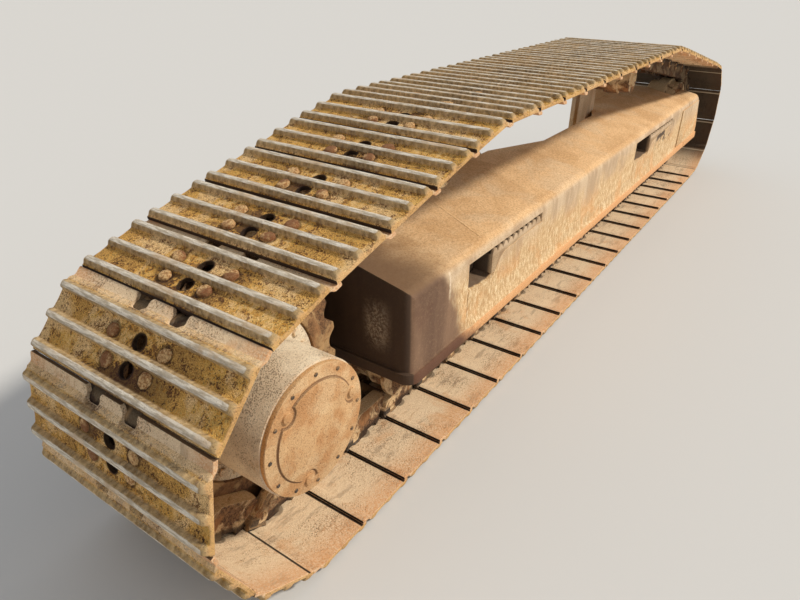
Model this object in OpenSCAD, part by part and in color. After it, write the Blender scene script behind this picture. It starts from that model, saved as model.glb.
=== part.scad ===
// Crawler track unit of a 25-tonne excavator: one side frame with its
// final drive, idler, rollers and a closed loop of triple-grouser shoes.
// X runs forwards from the sprocket to the idler, Y points to the middle of
// the machine, so the outer side is at -Y, and Z is up from the ground.

/* [Chain] */
// Chain pitch, pin to pin
pitch = 190; // [185:1:196]
// Number of shoes in the closed loop
shoe_count = 51; // [49:1:53]
// Pin axis above the face that carries the shoe
pin_h = 32; // [30:1:36]
// Rail face beyond the pin axis
rail_h = 60; // [54:1:64]
// Inner faces of the two link strands, from the middle plane
strand_in = 46; // [44:1:50]
// Outer faces of the two link strands
strand_out = 92; // [86:1:94]
// Radius of the bushing that the sprocket tooth meets
bush_r = 29; // [26:1:31]
// Where the loop's first pin lies, in pitches past the sprocket's lowest point
loop_phase = 0.64; // [0.04:0.1:0.94]

/* [Shoes] */
// Width of a shoe across the machine
shoe_w = 600; // [500:10:700]
// Plate thickness
plate_t = 10; // [8:1:14]
// Height of the worn grousers above the plate
grouser_h = 17; // [12:1:26]
// Width of a grouser at its foot
grouser_foot = 30; // [24:1:34]
// Width of a grouser at its crest
grouser_top = 14; // [8:1:18]
// Distance from crest to crest on one shoe
grouser_step = 70; // [62:1:74]
// Gap between two shoes on the straight
shoe_gap = 8; // [5:1:10]
// How far the shoe lies behind its link
shoe_back = 10; // [6:1:24]

/* [Wheels] */
// Sprocket teeth, two for each chain pitch
tooth_count = 21; // [21:2:23]
// Thickness of the toothed ring
sprocket_t = 66; // [56:1:72]
// Pin circle radius of the chain round the idler
idler_pin_r = 311; // [300:1:340]
// Clearance from the idler's treads to the rails
idler_gap = 5.5; // [5:0.5:8]
// Height of the idler's middle rib above its treads
rib_h = 20; // [14:1:24]
// Tread radius of a bottom roller
roller_r = 78; // [70:1:80]
// Flange radius of a bottom roller
roller_flange_r = 93; // [86:1:96]
// Number of bottom rollers
roller_count = 9; // [8:1:9]
// Tread radius of a carrier roller
carrier_r = 62; // [56:1:70]
// Rear carrier roller, forward of the sprocket axis
carrier_rear = 772; // [740:4:820]
// Front carrier roller, behind the idler axis
carrier_front = 1197; // [1150:1:1250]
// Pin line of the upper run above the ground
upper_pin_z = 897; // [880:1:910]

/* [Side frame] */
// Thickness of the frame's walls
wall = 12; // [8:1:16]
// Outer face of the outer wall, from the middle plane
wall_out = 219; // [212:1:226]
// Face of the inner wall, from the middle plane
inner_wall = 189; // [184:1:196]
// How far the bottom flange stands out from the walls
flange_over = 12; // [6:1:16]
// Inner edge of the bottom flanges
flange_in = 118; // [114:1:124]
// Underside of the bottom flanges
flange_z = 236; // [230:1:240]
// Thickness of the bottom flanges
flange_t = 36; // [30:1:40]
// Height at which the roof would meet the outer wall
eave_z = 532; // [520:2:540]
// Height of the roof's ridge
ridge_z = 590; // [580:2:600]
// The ridge, from the middle plane
ridge_y = 60; // [50:2:80]
// Height at which the inner slope meets the inner wall
inner_eave_z = 470; // [450:5:500]
// Radius of the rounded outer edge
eave_r = 40; // [30:1:45]
// Radius of the rear corner in plan
corner_r = 30; // [24:1:36]
// Rear end of the frame, forward of the sprocket axis
frame_rear = 420; // [400:5:440]
// How far the roof reaches over the idler's rib
roof_over = 17; // [10:1:30]
// Front end of the fork, forward of the idler axis
fork_reach = 124; // [110:2:140]
// Height above which the fork's front edge slants back
knee_z = 315; // [300:5:340]

/* [Steps] */
// Depth of the pocket behind a step
pocket_depth = 70; // [50:5:74]
// Floor of the pocket
pocket_floor = 330; // [310:5:350]
// Top of the step's teeth
step_z = 490; // [470:2:494]
// Height of the step's outer plate
step_h = 84; // [60:2:100]
// Distance from tooth to tooth
step_pitch = 38; // [30:1:50]
// Start of the rear pocket, forward of the sprocket axis
pocket_rear = 740; // [700:10:800]
// Start of the front pocket, behind the idler axis
pocket_front = 1363; // [1340:10:1400]

/* [Final drive] */
// How far the worn teeth end below the pin circle
tip_drop = 5; // [0:1:8]
// Radius of the drum
drum_r = 167; // [164:1:180]
// Radius of the outer cover
cover_r = 163; // [154:1:164]
// Outer face of the drum
drum_face = 229; // [220:1:240]
// Thickness of the cover's rim
cover_t = 14; // [10:1:18]
// Radius of the cover's raised panel
panel_r = 126; // [118:1:130]
// Radius of the travel motor
motor_r = 105; // [95:1:115]

/* [Legs] */
// Middle of the rear leg root, forward of the sprocket axis
leg_rear = 1320; // [1250:10:1360]
// Middle of the front leg root, behind the idler axis
leg_front = 665; // [650:5:760]
// Width of a leg root along the frame
leg_w = 560; // [480:10:580]
// Height of a leg root's face
leg_h = 400; // [360:10:420]
// How far the deck beside a leg root tapers along the frame
leg_flare = 310; // [200:10:330]

/* [Hidden] */

paint = "goldenrod";
steel = "slategray";
rust = "sienna";
// Gap between large flat faces that seat on each other
seat = 0.3;
// Least clearance between a moving piece and its neighbours
clear = 6;
// How far pieces of one solid run into each other
overlap = 1;

// Heights that follow from the chain
pin_z = pin_h + plate_t + grouser_h;
rail_z = pin_z + rail_h;
sprocket_pin_r = pitch / (2 * sin(360 / tooth_count));
sprocket_z = pin_z + sprocket_pin_r;
idler_z = pin_z + idler_pin_r;
sprocket_step = 2 * asin(pitch / (2 * sprocket_pin_r));
idler_step = 2 * asin(pitch / (2 * idler_pin_r));
bend_r = 320;
bend_step = pitch / bend_r * 180 / PI;

// The pin line is a loop of lines and arcs. Tangent between two circles on
// whose upper side the chain lies, as the slope of the line in degrees.
function slope(a, ra, b, rb) = atan2(b[1] - a[1], b[0] - a[0]) + asin((rb - ra) / norm(b - a));
function on_circle(c, r, a) = [c[0] + r * cos(a), c[1] + r * sin(a)];
function line_part(a, b) = [0, a, b, 0, 0, norm(b - a) / pitch];
function arc_part(c, r, a0, a1, step) = [1, c, r, a0, a1, (a1 - a0) / step];
function sum(v, i = 0) = i >= len(v) ? 0 : v[i][5] + sum(v, i + 1);

// The loop for a wheelbase c, from the sprocket's lowest point forwards
function loop_parts(c) =
    let (s = [0, sprocket_z], i = [c, idler_z],
        r = [carrier_rear, upper_pin_z - bend_r], f = [c - carrier_front, upper_pin_z - bend_r],
        up = slope(s, sprocket_pin_r, r, bend_r), down = slope(f, bend_r, i, idler_pin_r))
    [line_part([0, pin_z], [c, pin_z]),
     arc_part(i, idler_pin_r, -90, 90 + down, idler_step),
     line_part(on_circle(i, idler_pin_r, 90 + down), on_circle(f, bend_r, 90 + down)),
     arc_part(f, bend_r, 90 + down, 90, bend_step),
     line_part(on_circle(f, bend_r, 90), on_circle(r, bend_r, 90)),
     arc_part(r, bend_r, 90, 90 + up, bend_step),
     line_part(on_circle(r, bend_r, 90 + up), on_circle(s, sprocket_pin_r, 90 + up)),
     arc_part(s, sprocket_pin_r, 90 + up, 270, sprocket_step)];

// The wheelbase at which the loop holds a whole number of shoes
function fit_wheelbase(c, n) =
    n == 0 ? c : fit_wheelbase(c + (shoe_count - sum(loop_parts(c))) * pitch / 2, n - 1);
wheelbase = fit_wheelbase(20 * pitch, 12);
loop = loop_parts(wheelbase);

function part_at(s, t) = s[0] == 0 ? s[1] + (s[2] - s[1]) * t : on_circle(s[1], s[2], s[3] + (s[4] - s[3]) * t);
function loop_at(u, i = 0) = u <= loop[i][5] || i == len(loop) - 1
    ? part_at(loop[i], u / loop[i][5]) : loop_at(u - loop[i][5], i + 1);
pins = [for (k = [0 : shoe_count - 1]) loop_at((k + loop_phase) % shoe_count)];
function pin(k) = pins[(k + shoe_count) % shoe_count];
function heading(k) = atan2(pin(k + 1)[1] - pin(k)[1], pin(k + 1)[0] - pin(k)[0]);

// The middle of the unit's length, which is the frame's origin
function crest_x(k, side) = let (a = heading(k), t = pin_h + plate_t + grouser_h, s = pitch / 2 - shoe_back)
    pin(k)[0] + cos(a) * (s + side * (grouser_step + grouser_top / 2)) + sin(a) * t;
ends = [for (k = [0 : shoe_count - 1], g = [-1, -0.9, 0, 0.9, 1]) crest_x(k, g)];
mid_x = (min(ends) + max(ends)) / 2;
sprocket_x = -mid_x;
idler_x = wheelbase - mid_x;

// Radii of the idler, and the frame's ends that follow from it
idler_tread_r = sqrt(idler_pin_r * idler_pin_r - pitch * pitch / 4) - rail_h - idler_gap;
idler_rib_r = idler_tread_r + rib_h;
frame_x0 = sprocket_x + frame_rear;
frame_x1 = idler_x - idler_rib_r + roof_over;
fork_x1 = idler_x + fork_reach;

// A pin that lies on the sprocket, whose angle the teeth follow
sprocket_pin = [for (k = [0 : shoe_count - 1]) if (pin(k)[0] < -sprocket_pin_r / 2) k][0];
tooth_angle = atan2(pin(sprocket_pin)[1] - sprocket_z, pin(sprocket_pin)[0]);

// Height of the rail above a place on the upper run
over_wheels = 150;
function rail_over(x) = min([for (k = [0 : shoe_count - 1])
    let (a = pin(k), b = pin(k + 1))
    if (a[1] > sprocket_z + over_wheels && b[0] <= x && a[0] >= x)
        a[1] + (b[1] - a[1]) * (x - a[0]) / (b[0] - a[0])]) - rail_h;

// Draws a side view, seen from the outer side, between two planes y0 and y1
module slab(y0, y1) {
    translate([0, y1, 0])
        rotate([90, 0, 0])
            linear_extrude(y1 - y0)
                children();
}

// A round bar across the machine between two planes
module bar(x, z, r, y0, y1) {
    translate([x, y1, z])
        rotate([90, 0, 0])
            cylinder(h = y1 - y0, r = r, $fn = 96);
}

module block(x0, x1, y0, y1, z0, z1) {
    translate([x0, y0, z0])
        cube([x1 - x0, y1 - y0, z1 - z0]);
}

// Turns a profile of radius and distance from the middle plane, outwards
module turned(x, z) {
    translate([x, 0, z])
        rotate([90, 0, 0])
            rotate_extrude($fn = 96)
                children();
}

// The chain: one closed loop of shoes, links and bushings

// A place on link k: s along it from its pin, t outwards from the pin line
function on_pins(k, s, t) = let (a = heading(k))
    [pin(k)[0] - mid_x + s * cos(a) + t * sin(a), pin(k)[1] + s * sin(a) - t * cos(a)];

// A place on the line that halves the bend at pin k, t outwards from both links
function on_joint(k, t) =
    let (bend = (heading(k) - heading(k - 1) + 540) % 360 - 180, a = heading(k) - bend / 2, d = t / cos(bend / 2))
    [pin(k)[0] - mid_x + d * sin(a), pin(k)[1] - d * cos(a)];

// The outside of one shoe, along its link and out from the pin line: the
// plate with its three worn grousers, and half of the groove at either end
shoe_mid = pitch / 2 - shoe_back;
shoe_half = (pitch - shoe_gap) / 2;
groove_t = 6;
function grouser(x) = let (out = pin_h + plate_t)
    [[x - grouser_foot / 2, out], [x - grouser_top / 2, out + grouser_h],
     [x + grouser_top / 2, out + grouser_h], [x + grouser_foot / 2, out]];
shoe_outside = concat(
    [for (t = [plate_t - groove_t, plate_t]) [shoe_mid - shoe_half, pin_h + t]],
    [for (g = [-1 : 1]) each grouser(shoe_mid + g * grouser_step)],
    [for (t = [plate_t, plate_t - groove_t]) [shoe_mid + shoe_half, pin_h + t]]);

// All shoes in side view: one closed ring
module shoe_ring() {
    difference() {
        polygon([for (k = [0 : shoe_count - 1], p = shoe_outside) on_pins(k, p[0], p[1])]);
        polygon([for (k = [0 : shoe_count - 1]) on_joint(k, pin_h)]);
    }
}

// Both strands of links in side view, from the shoes to the rail
module link_band() {
    difference() {
        polygon([for (k = [0 : shoe_count - 1]) on_joint(k, pin_h + overlap)]);
        polygon([for (k = [0 : shoe_count - 1]) on_joint(k, -rail_h)]);
    }
}

module track() {
    color(rust)
    union() {
        slab(-shoe_w / 2, shoe_w / 2)
            shoe_ring();
        for (side = [[-strand_out, -strand_in], [strand_in, strand_out]])
            slab(side[0], side[1])
                link_band();
        for (k = [0 : shoe_count - 1])
            translate([pin(k)[0] - mid_x, strand_in + overlap, pin(k)[1]])
                rotate([90, 0, 0])
                    cylinder(h = 2 * (strand_in + overlap), r = bush_r, $fn = 6);
    }
}

// The side frame: a ridged box over the rollers, with pockets for the steps

// Slopes of the roof and of the inner side, and the middle of the rounded eave
roof_pitch = atan2(ridge_z - eave_z, wall_out + ridge_y);
inner_pitch = atan2(ridge_z - inner_eave_z, inner_wall - ridge_y);
eave_mid = [eave_r - wall_out, eave_z + eave_r * (tan(roof_pitch) - 1 / cos(roof_pitch))];
function ridge_point(t) =
    let (dy = t * (1 / cos(roof_pitch) - 1 / cos(inner_pitch)) / (tan(roof_pitch) + tan(inner_pitch)))
    [ridge_y + dy, ridge_z + dy * tan(roof_pitch) - t / cos(roof_pitch)];

// The section across the machine, shrunk by t on all but its open lower side
module frame_section(t) {
    polygon([[t - wall_out, flange_z], [t - wall_out, eave_mid[1]],
             eave_mid + (eave_r - t) * [-sin(roof_pitch), cos(roof_pitch)], ridge_point(t),
             [inner_wall - t, inner_eave_z + t * (tan(inner_pitch) - 1 / cos(inner_pitch))],
             [inner_wall - t, flange_z]]);
    translate(eave_mid)
        circle(eave_r - t, $fn = 96);
}

module along_frame(x0, x1) {
    translate([x0, 0, 0])
        rotate([90, 0, 90])
            linear_extrude(x1 - x0)
                children();
}

// A flat shape seen from above, between two heights
module plan(z0, z1) {
    translate([0, 0, z0])
        linear_extrude(z1 - z0)
            children();
}

// Decks beside the leg roots: the end, then the taper at the wall and ridge
leg_rear_x = sprocket_x + leg_rear;
leg_front_x = idler_x - leg_front;
deck_over = 20;
decks = [[frame_x0, leg_rear_x + leg_w / 2 + deck_over, leg_flare],
         [frame_x1, leg_front_x - leg_w / 2 - deck_over, -leg_flare]];

// The frame's outer shape without its hollow
module frame_shape() {
    along_frame(frame_x0, frame_x1)
        frame_section(0);
    plan(inner_eave_z, ridge_z)
        for (d = decks)
            polygon([[d[0], ridge_y], [d[1] + d[2], ridge_y], [d[1], inner_wall], [d[0], inner_wall]]);
}

// Everything outside the rounded rear corner
module corner_waste() {
    plan(flange_z - overlap, ridge_z)
        difference() {
            translate([frame_x0 - overlap, -wall_out - overlap])
                square(corner_r + overlap);
            translate([frame_x0 + corner_r, corner_r - wall_out])
                circle(corner_r, $fn = 96);
        }
}

// The bottom flange seen from above; it wraps round the rear end
flange_out = wall_out + flange_over;
module flange_plan() {
    translate([frame_x0 + corner_r, corner_r - wall_out])
        circle(corner_r + flange_over, $fn = 96);
    for (r = [[frame_x0 + corner_r, frame_x1, -flange_out, -flange_in],
              [frame_x0 - flange_over, frame_x0 + corner_r, corner_r - wall_out, -flange_in],
              [frame_x0 - flange_over, frame_x0 + wall, -flange_in - overlap, flange_in + overlap],
              [frame_x0 - flange_over, frame_x1, flange_in, inner_wall + flange_over]])
        translate([r[0], r[2]])
            square([r[1] - r[0], r[3] - r[2]]);
}

// Pockets in the outer wall: their start, the step's start and end in them,
// and their end
step_lead = 155;
step_l = 385;
pocket_end = 12;
front_lead = 260;
front_l = 450;
pockets = [[sprocket_x + pocket_rear, step_lead, step_lead + step_l, step_lead + step_l + pocket_end],
           [idler_x - pocket_front, front_lead, front_lead + front_l, front_lead + front_l + pocket_end]];
pocket_top = eave_mid[1];
pocket_back = pocket_depth - wall_out;

module side_frame() {
    color(paint)
    difference() {
        union() {
            difference() {
                frame_shape();
                corner_waste();
            }
            plan(flange_z, flange_z + flange_t)
                flange_plan();
        }
        difference() {
            along_frame(frame_x0 + wall, frame_x1 + overlap)
                difference() {
                    frame_section(wall);
                    for (s = [[-wall_out, -flange_in], [flange_in, inner_wall]])
                        translate([s[0], 0])
                            square([s[1] - s[0], flange_z + flange_t]);
                }
            for (p = pockets)
                block(p[0] - wall, p[0] + p[3] + wall, -wall_out, pocket_back + wall,
                      pocket_floor - wall, pocket_top + wall);
        }
        for (p = pockets)
            block(p[0], p[0] + p[3], -wall_out - overlap, pocket_back, pocket_floor, pocket_top);
    }
}

// A step: a serrated plate flush with the wall, on two ears in its pocket
step_t = 10;
ear_t = 14;
tooth_h = 16;
module step(p) {
    x0 = p[0] + p[1];
    teeth = floor((p[2] - p[1]) / step_pitch);
    side = (p[2] - p[1]) / teeth;
    color(paint)
    union() {
        slab(-wall_out, step_t - wall_out)
            polygon(concat([[x0, step_z - step_h]],
                [for (k = [0 : teeth - 1], t = [[0, -tooth_h], [0.25, 0], [0.7, 0], [0.95, -tooth_h]])
                    [x0 + (k + t[0]) * side, step_z + t[1]]],
                [[x0 + teeth * side, step_z - tooth_h], [x0 + teeth * side, step_z - step_h]]));
        block(x0, x0 + teeth * side, step_t - wall_out - overlap, pocket_back - 2 * ear_t,
              step_z - 2 * tooth_h - step_t, step_z - 2 * tooth_h);
        for (x = [x0, x0 + teeth * side - ear_t])
            block(x, x + ear_t, step_t - wall_out - overlap, pocket_back - seat, step_z - step_h, step_z - tooth_h);
    }
}
module step_rear() { step(pockets[0]); }
module step_front() { step(pockets[1]); }

// The bracket that carries the drive: a plate on the frame's rear end with
// a rib above and below the motor
bracket_y0 = 100;
bracket_t = 26;
bracket_r = 205;
bracket_bore = 146;
rib_t = 16;
module drive_bracket() {
    x1 = frame_x0 - flange_over - seat;
    color(paint)
    difference() {
        union() {
            bar(sprocket_x, sprocket_z, bracket_r, bracket_y0, bracket_y0 + bracket_t);
            slab(bracket_y0, bracket_y0 + bracket_t)
                polygon([[sprocket_x, sprocket_z - bracket_r], [x1, flange_z + flange_t + seat],
                         [x1, ridge_z - eave_r], [sprocket_x, sprocket_z + bracket_r]]);
            for (z = [flange_z + flange_t + rib_t, ridge_z - eave_r - 2 * rib_t])
                block(sprocket_x + bracket_r + rib_t, frame_x0 - seat, bracket_y0 + bracket_t - overlap, inner_wall - wall, z, z + rib_t);
            block(x1 - overlap, frame_x0 - seat, bracket_y0, bracket_y0 + bracket_t,
                  flange_z + flange_t + rib_t, ridge_z - eave_r - rib_t);
        }
        bar(sprocket_x, sprocket_z, bracket_bore, bracket_y0 - overlap, bracket_y0 + bracket_t + overlap);
    }
}

// The fork at the front: two arms beside the idler, open between them, each
// with a cheek whose window shows the idler's block between two slide bars
fork_in = 152;
fork_t = 22;
block_in = 104;
block_h = 60;
slide_t = 14;
window_h = 45;
cap_t = 6;
cap_back = 165;
window_back = 100;
window_front = 60;
module fork_side(t) {
    slant = tan(25);
    polygon([[frame_x1 + seat, flange_z + flange_t], [fork_x1 - t, flange_z + flange_t], [fork_x1 - t, knee_z],
             [fork_x1 - t - slant * (ridge_z - knee_z), ridge_z], [frame_x1 + seat, ridge_z]]);
}
module band(y0, y1) {
    translate([y0, 0])
        square([y1 - y0, ridge_z]);
}
module fork_hollow(y0, y1) {
    intersection() {
        along_frame(frame_x1 - overlap, fork_x1)
            intersection() {
                frame_section(wall);
                band(y0, y1);
            }
        translate([-overlap, 0, 0])
            slab(-wall_out, inner_wall)
                fork_side(wall);
    }
}
// An arm: its outer and inner side, and the hollows in it
module fork(y0, y1, cheek, flange, hollows) {
    color(paint)
    difference() {
        union() {
            intersection() {
                along_frame(frame_x1 + seat, fork_x1)
                    intersection() {
                        frame_section(0);
                        band(y0, y1);
                    }
                slab(y0 - overlap, y1 + overlap)
                    fork_side(0);
            }
            block(frame_x1 + seat, fork_x1, flange[0], flange[1], flange_z, flange_z + flange_t + overlap);
        }
        for (h = hollows)
            fork_hollow(h[0], h[1]);
        block(idler_x - window_back, idler_x + window_front, cheek[0], cheek[1], idler_z - window_h, idler_z + window_h);
    }
}
module slide_bars(y0, y1) {
    for (z = [idler_z - block_h - seat - slide_t, idler_z + block_h + seat])
        block(frame_x1 + seat, idler_x + window_back, y0, y1, z, z + slide_t);
}
module front_fork_outer() {
    union() {
        fork(-wall_out, -block_in, [-fork_in - fork_t - overlap, -fork_in + overlap], [-flange_out, -flange_in],
             [[wall - wall_out, -fork_in - fork_t], [-fork_in, -block_in + overlap]]);
        color(paint)
        slide_bars(-fork_in - overlap, -block_in);
        color(paint)
        difference() {
            union() {
                block(frame_x1 - cap_back, frame_x1 + 2, -wall_out - cap_t, -wall_out - seat, flange_z + flange_t + seat, pocket_top);
                intersection() {
                    block(frame_x1, fork_x1, -wall_out - cap_t, overlap - wall_out, flange_z + flange_t, pocket_top);
                    slab(-wall_out - cap_t, overlap - wall_out)
                        fork_side(wall);
                }
            }
        }
    }
}
module front_fork_inner() {
    union() {
        fork(block_in, inner_wall, [fork_in - overlap, inner_wall + overlap], [flange_in, inner_wall + flange_over],
             [[block_in - overlap, fork_in]]);
        color(paint)
        slide_bars(block_in, fork_in + overlap);
    }
}

// A leg root: a box that rises from the deck to a bolted face
leg_gap = 16;
leg_z0 = flange_z + flange_t + leg_gap;
leg_face = 300;
leg_plate = 24;
leg_lip = 40;
leg_wall = 20;
bolt_in = 18;
module leg_root(x) {
    z1 = leg_z0 + leg_h;
    color(paint)
    difference() {
        union() {
            translate([x - leg_w / 2 + leg_lip, 0, 0])
                rotate([90, 0, 90])
                    linear_extrude(leg_w - 2 * leg_lip)
                        polygon([[inner_wall + seat, leg_z0 + leg_wall], [leg_face - leg_plate + overlap, leg_z0 + leg_wall],
                                 [leg_face - leg_plate + overlap, z1 - leg_wall], [inner_wall + seat, ridge_z - seat]]);
            block(x - leg_w / 2, x + leg_w / 2, leg_face - leg_plate, leg_face, leg_z0, z1);
        }
        block(x - leg_w / 2 + leg_lip + leg_wall, x + leg_w / 2 - leg_lip - leg_wall, inner_wall, leg_face + overlap,
              leg_z0 + 2 * leg_wall, ridge_z - leg_wall);
        for (dx = [-1, 1], dz = [0.1, 0.5, 0.9])
            bar(x + dx * (leg_w / 2 - bolt_in), leg_z0 + dz * leg_h, 11.5, leg_face - leg_plate - overlap, leg_face + overlap);
    }
}
module leg_root_rear() { leg_root(leg_rear_x); }
module leg_root_front() { leg_root(leg_front_x); }

// The final drive: a drum that turns the sprocket, a cover and the motor
ring_y = sprocket_t / 2;
hub_r = 142;
ring_bore = 146;
drum_flange_r = 214;
drum_flange_t = 7;
seal_r = 120;
seal_t = 4;
housing_r = 185;
housing_t = 26;
module final_drive_drum() {
    seal_y = housing_t - bracket_y0;
    color("tan")
    turned(sprocket_x, sprocket_z)
        polygon([[0, -bracket_y0], [housing_r, -bracket_y0], [housing_r, seal_y], [seal_r, seal_y],
                 [seal_r, seal_y + seal_t], [hub_r, seal_y + seal_t], [hub_r, ring_y], [drum_flange_r, ring_y],
                 [drum_flange_r, ring_y + drum_flange_t], [drum_r + drum_flange_t, ring_y + drum_flange_t],
                 [drum_r, ring_y + 2 * drum_flange_t], [drum_r, drum_face], [0, drum_face]]);
}

// Plugs in the cover: the angle at which each stands, from +X upwards
plug_angles = [13, 134, 252];
plug_r = 13;
plug_at = 128;
panel_t = 4;
module final_drive_cover() {
    face = -drum_face - cover_t;
    color("tan")
    union() {
        bar(sprocket_x, sprocket_z, cover_r, face, -drum_face);
        difference() {
            bar(sprocket_x, sprocket_z, panel_r, face - panel_t, face + overlap);
            for (a = plug_angles)
                bar(sprocket_x + plug_at * cos(a), sprocket_z + plug_at * sin(a), 2 * plug_r, face - panel_t - overlap, face);
        }
        for (a = plug_angles)
            bar(sprocket_x + plug_at * cos(a), sprocket_z + plug_at * sin(a), plug_r, face - panel_t - 2, face + overlap);
    }
}

// Each gap between teeth is a round seat for a bushing, with straight flanks
// that leave it at 45 degrees. A raised collar stands round the bolted flange.
collar_in = drum_flange_r + 4;
collar_out = 257;
module sprocket() {
    root_r = bush_r + 2;
    flank = root_r / sqrt(2);
    color(rust)
    translate([sprocket_x, 0, sprocket_z])
        rotate([0, -tooth_angle, 0])
            union() {
                slab(-ring_y, ring_y)
                    difference() {
                        circle(sprocket_pin_r - tip_drop, $fn = 128);
                        circle(ring_bore, $fn = 96);
                        for (k = [0 : tooth_count - 1])
                            rotate(k * 360 / tooth_count)
                                translate([sprocket_pin_r, 0]) {
                                    circle(root_r, $fn = 32);
                                    polygon([[-flank, -flank], [0, -2 * flank], [0, 2 * flank], [-flank, flank]]);
                                }
                    }
                slab(overlap - strand_in, overlap - ring_y)
                    difference() {
                        circle(collar_out, $fn = 96);
                        circle(collar_in, $fn = 96);
                    }
            }
}

// The travel motor, with two flanged ports that face the frame
gear_r = 140;
mount_r = 180;
motor_back = 262;
port_x = 150;
port_y = 212;
port_dz = 42;
port_r = 12.5;
port_bolt_y = 27.8;
port_bolt_z = 57.2;
port_hole_r = 5.25;
module travel_motor() {
    pad_y = port_bolt_y / 2 + 24;
    pad_z = port_dz + port_bolt_z / 2 + 12;
    color(steel)
    difference() {
        union() {
            bar(sprocket_x, sprocket_z, gear_r, bracket_y0 + seat, bracket_y0 + bracket_t + 10);
            bar(sprocket_x, sprocket_z, mount_r, bracket_y0 + bracket_t, bracket_y0 + bracket_t + 14);
            bar(sprocket_x, sprocket_z, motor_r, bracket_y0 + bracket_t, motor_back);
            block(sprocket_x, sprocket_x + port_x, port_y - pad_y, port_y + pad_y, sprocket_z - pad_z, sprocket_z + pad_z);
        }
        for (s = [-1, 1])
            translate([sprocket_x + port_x - 40, port_y, sprocket_z + s * port_dz])
                rotate([0, 90, 0]) {
                    cylinder(h = 40 + overlap, r = port_r, $fn = 48);
                    for (dy = [-1, 1], dz = [-1, 1])
                        translate([dz * port_bolt_z / 2, dy * port_bolt_y / 2, 15])
                            cylinder(h = 25 + overlap, r = port_hole_r, $fn = 32);
                }
    }
}

// The motor's guard: a plate with a round window, on a foot at the wall
guard_y = 278;
guard_h = 130;
guard_reach = 150;
foot_x = frame_x0 + 60;
module motor_guard() {
    z0 = sprocket_z - guard_h;
    z1 = sprocket_z + guard_h;
    foot_z = max(z0, flange_z + flange_t + seat);
    color(paint)
    difference() {
        union() {
            block(sprocket_x - guard_reach, foot_x + wall, guard_y, guard_y + wall, z0, z1);
            block(foot_x, foot_x + wall, inner_wall + seat, guard_y + overlap, foot_z, z1);
            for (z = [z0, z1 - wall])
                block(sprocket_x - guard_reach + 20, foot_x + overlap, guard_y - 40, guard_y + overlap, z, z + wall);
        }
        bar(sprocket_x, sprocket_z, 60, guard_y - overlap, guard_y + wall + overlap);
    }
}

// The idler with its shaft, blocks, yoke, recoil spring and adjuster
idler_bore = 42;
idler_hub_r = 78;
idler_hub_y = 97;
rim_t = 32;
web_y = 30;
module idler() {
    neck = idler_hub_r + 18;
    color(rust)
    turned(idler_x, idler_z)
        polygon(concat(
            [[idler_bore, -idler_hub_y], [idler_hub_r, -idler_hub_y], [neck, -2 * web_y]],
            [[idler_tread_r - rim_t - 13, -web_y], [idler_tread_r - rim_t, -strand_out], [idler_tread_r, -strand_out]],
            [[idler_tread_r, -38], [idler_rib_r, -34], [idler_rib_r, 34], [idler_tread_r, 38]],
            [[idler_tread_r, strand_out], [idler_tread_r - rim_t, strand_out], [idler_tread_r - rim_t - 13, web_y]],
            [[neck, 2 * web_y], [idler_hub_r, idler_hub_y], [idler_bore, idler_hub_y]]));
}

module idler_shaft() {
    color(steel)
    bar(idler_x, idler_z, idler_bore - 0.1, 4 - fork_in, fork_in - 4);
}

block_back = 95;
block_front = 55;
module idler_block(y0, y1) {
    color(steel)
    difference() {
        block(idler_x - block_back, idler_x + block_front, y0, y1, idler_z - block_h, idler_z + block_h);
        bar(idler_x, idler_z, idler_bore, y0 - overlap, y1 + overlap);
    }
}
module idler_block_outer() { idler_block(-fork_in, -block_in); }
module idler_block_inner() { idler_block(block_in, fork_in); }

yoke_x = idler_rib_r + 4 * clear;
yoke_t = 30;
yoke_h = 50;
yoke_y = fork_in - 4;
module idler_yoke() {
    color(steel)
    union() {
        for (y = [-yoke_y, block_in])
            block(idler_x - yoke_x, idler_x - block_back - seat, y, y + yoke_y - block_in, idler_z - yoke_h, idler_z + yoke_h);
        block(idler_x - yoke_x - yoke_t, idler_x - yoke_x, -yoke_y, yoke_y, idler_z - yoke_h, idler_z + yoke_h);
    }
}

spring_len = 620;
spring_r = 60;
coil_r = 15;
coil_count = 11;
spring_x1 = idler_x - yoke_x - yoke_t - seat;
spring_x0 = spring_x1 - spring_len;
module along_x(x0, x1, r) {
    translate([x0, 0, idler_z])
        rotate([0, 90, 0])
            cylinder(h = x1 - x0, r = r, $fn = 64);
}
module recoil_spring() {
    color(rust)
    union() {
        along_x(spring_x0, spring_x1, spring_r - coil_r / 2);
        for (k = [0 : coil_count - 1])
            translate([spring_x0 + 2 * coil_r + k * (spring_len - 4 * coil_r) / (coil_count - 1), 0, idler_z])
                rotate([0, 90, 0])
                    rotate_extrude($fn = 48)
                        translate([spring_r, 0])
                            circle(coil_r, $fn = 24);
    }
}

adjuster_l = 400;
adjuster_r = 55;
anchor_t = 40;
anchor_h = 70;
module adjuster_cylinder() {
    x0 = spring_x0 - seat - adjuster_l;
    color(steel)
    union() {
        along_x(x0, spring_x0 - seat, adjuster_r);
        block(x0 - anchor_t, x0 + overlap, pocket_back + wall + seat, inner_wall - wall - seat,
              idler_z - anchor_h, idler_z + anchor_h);
    }
}

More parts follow.
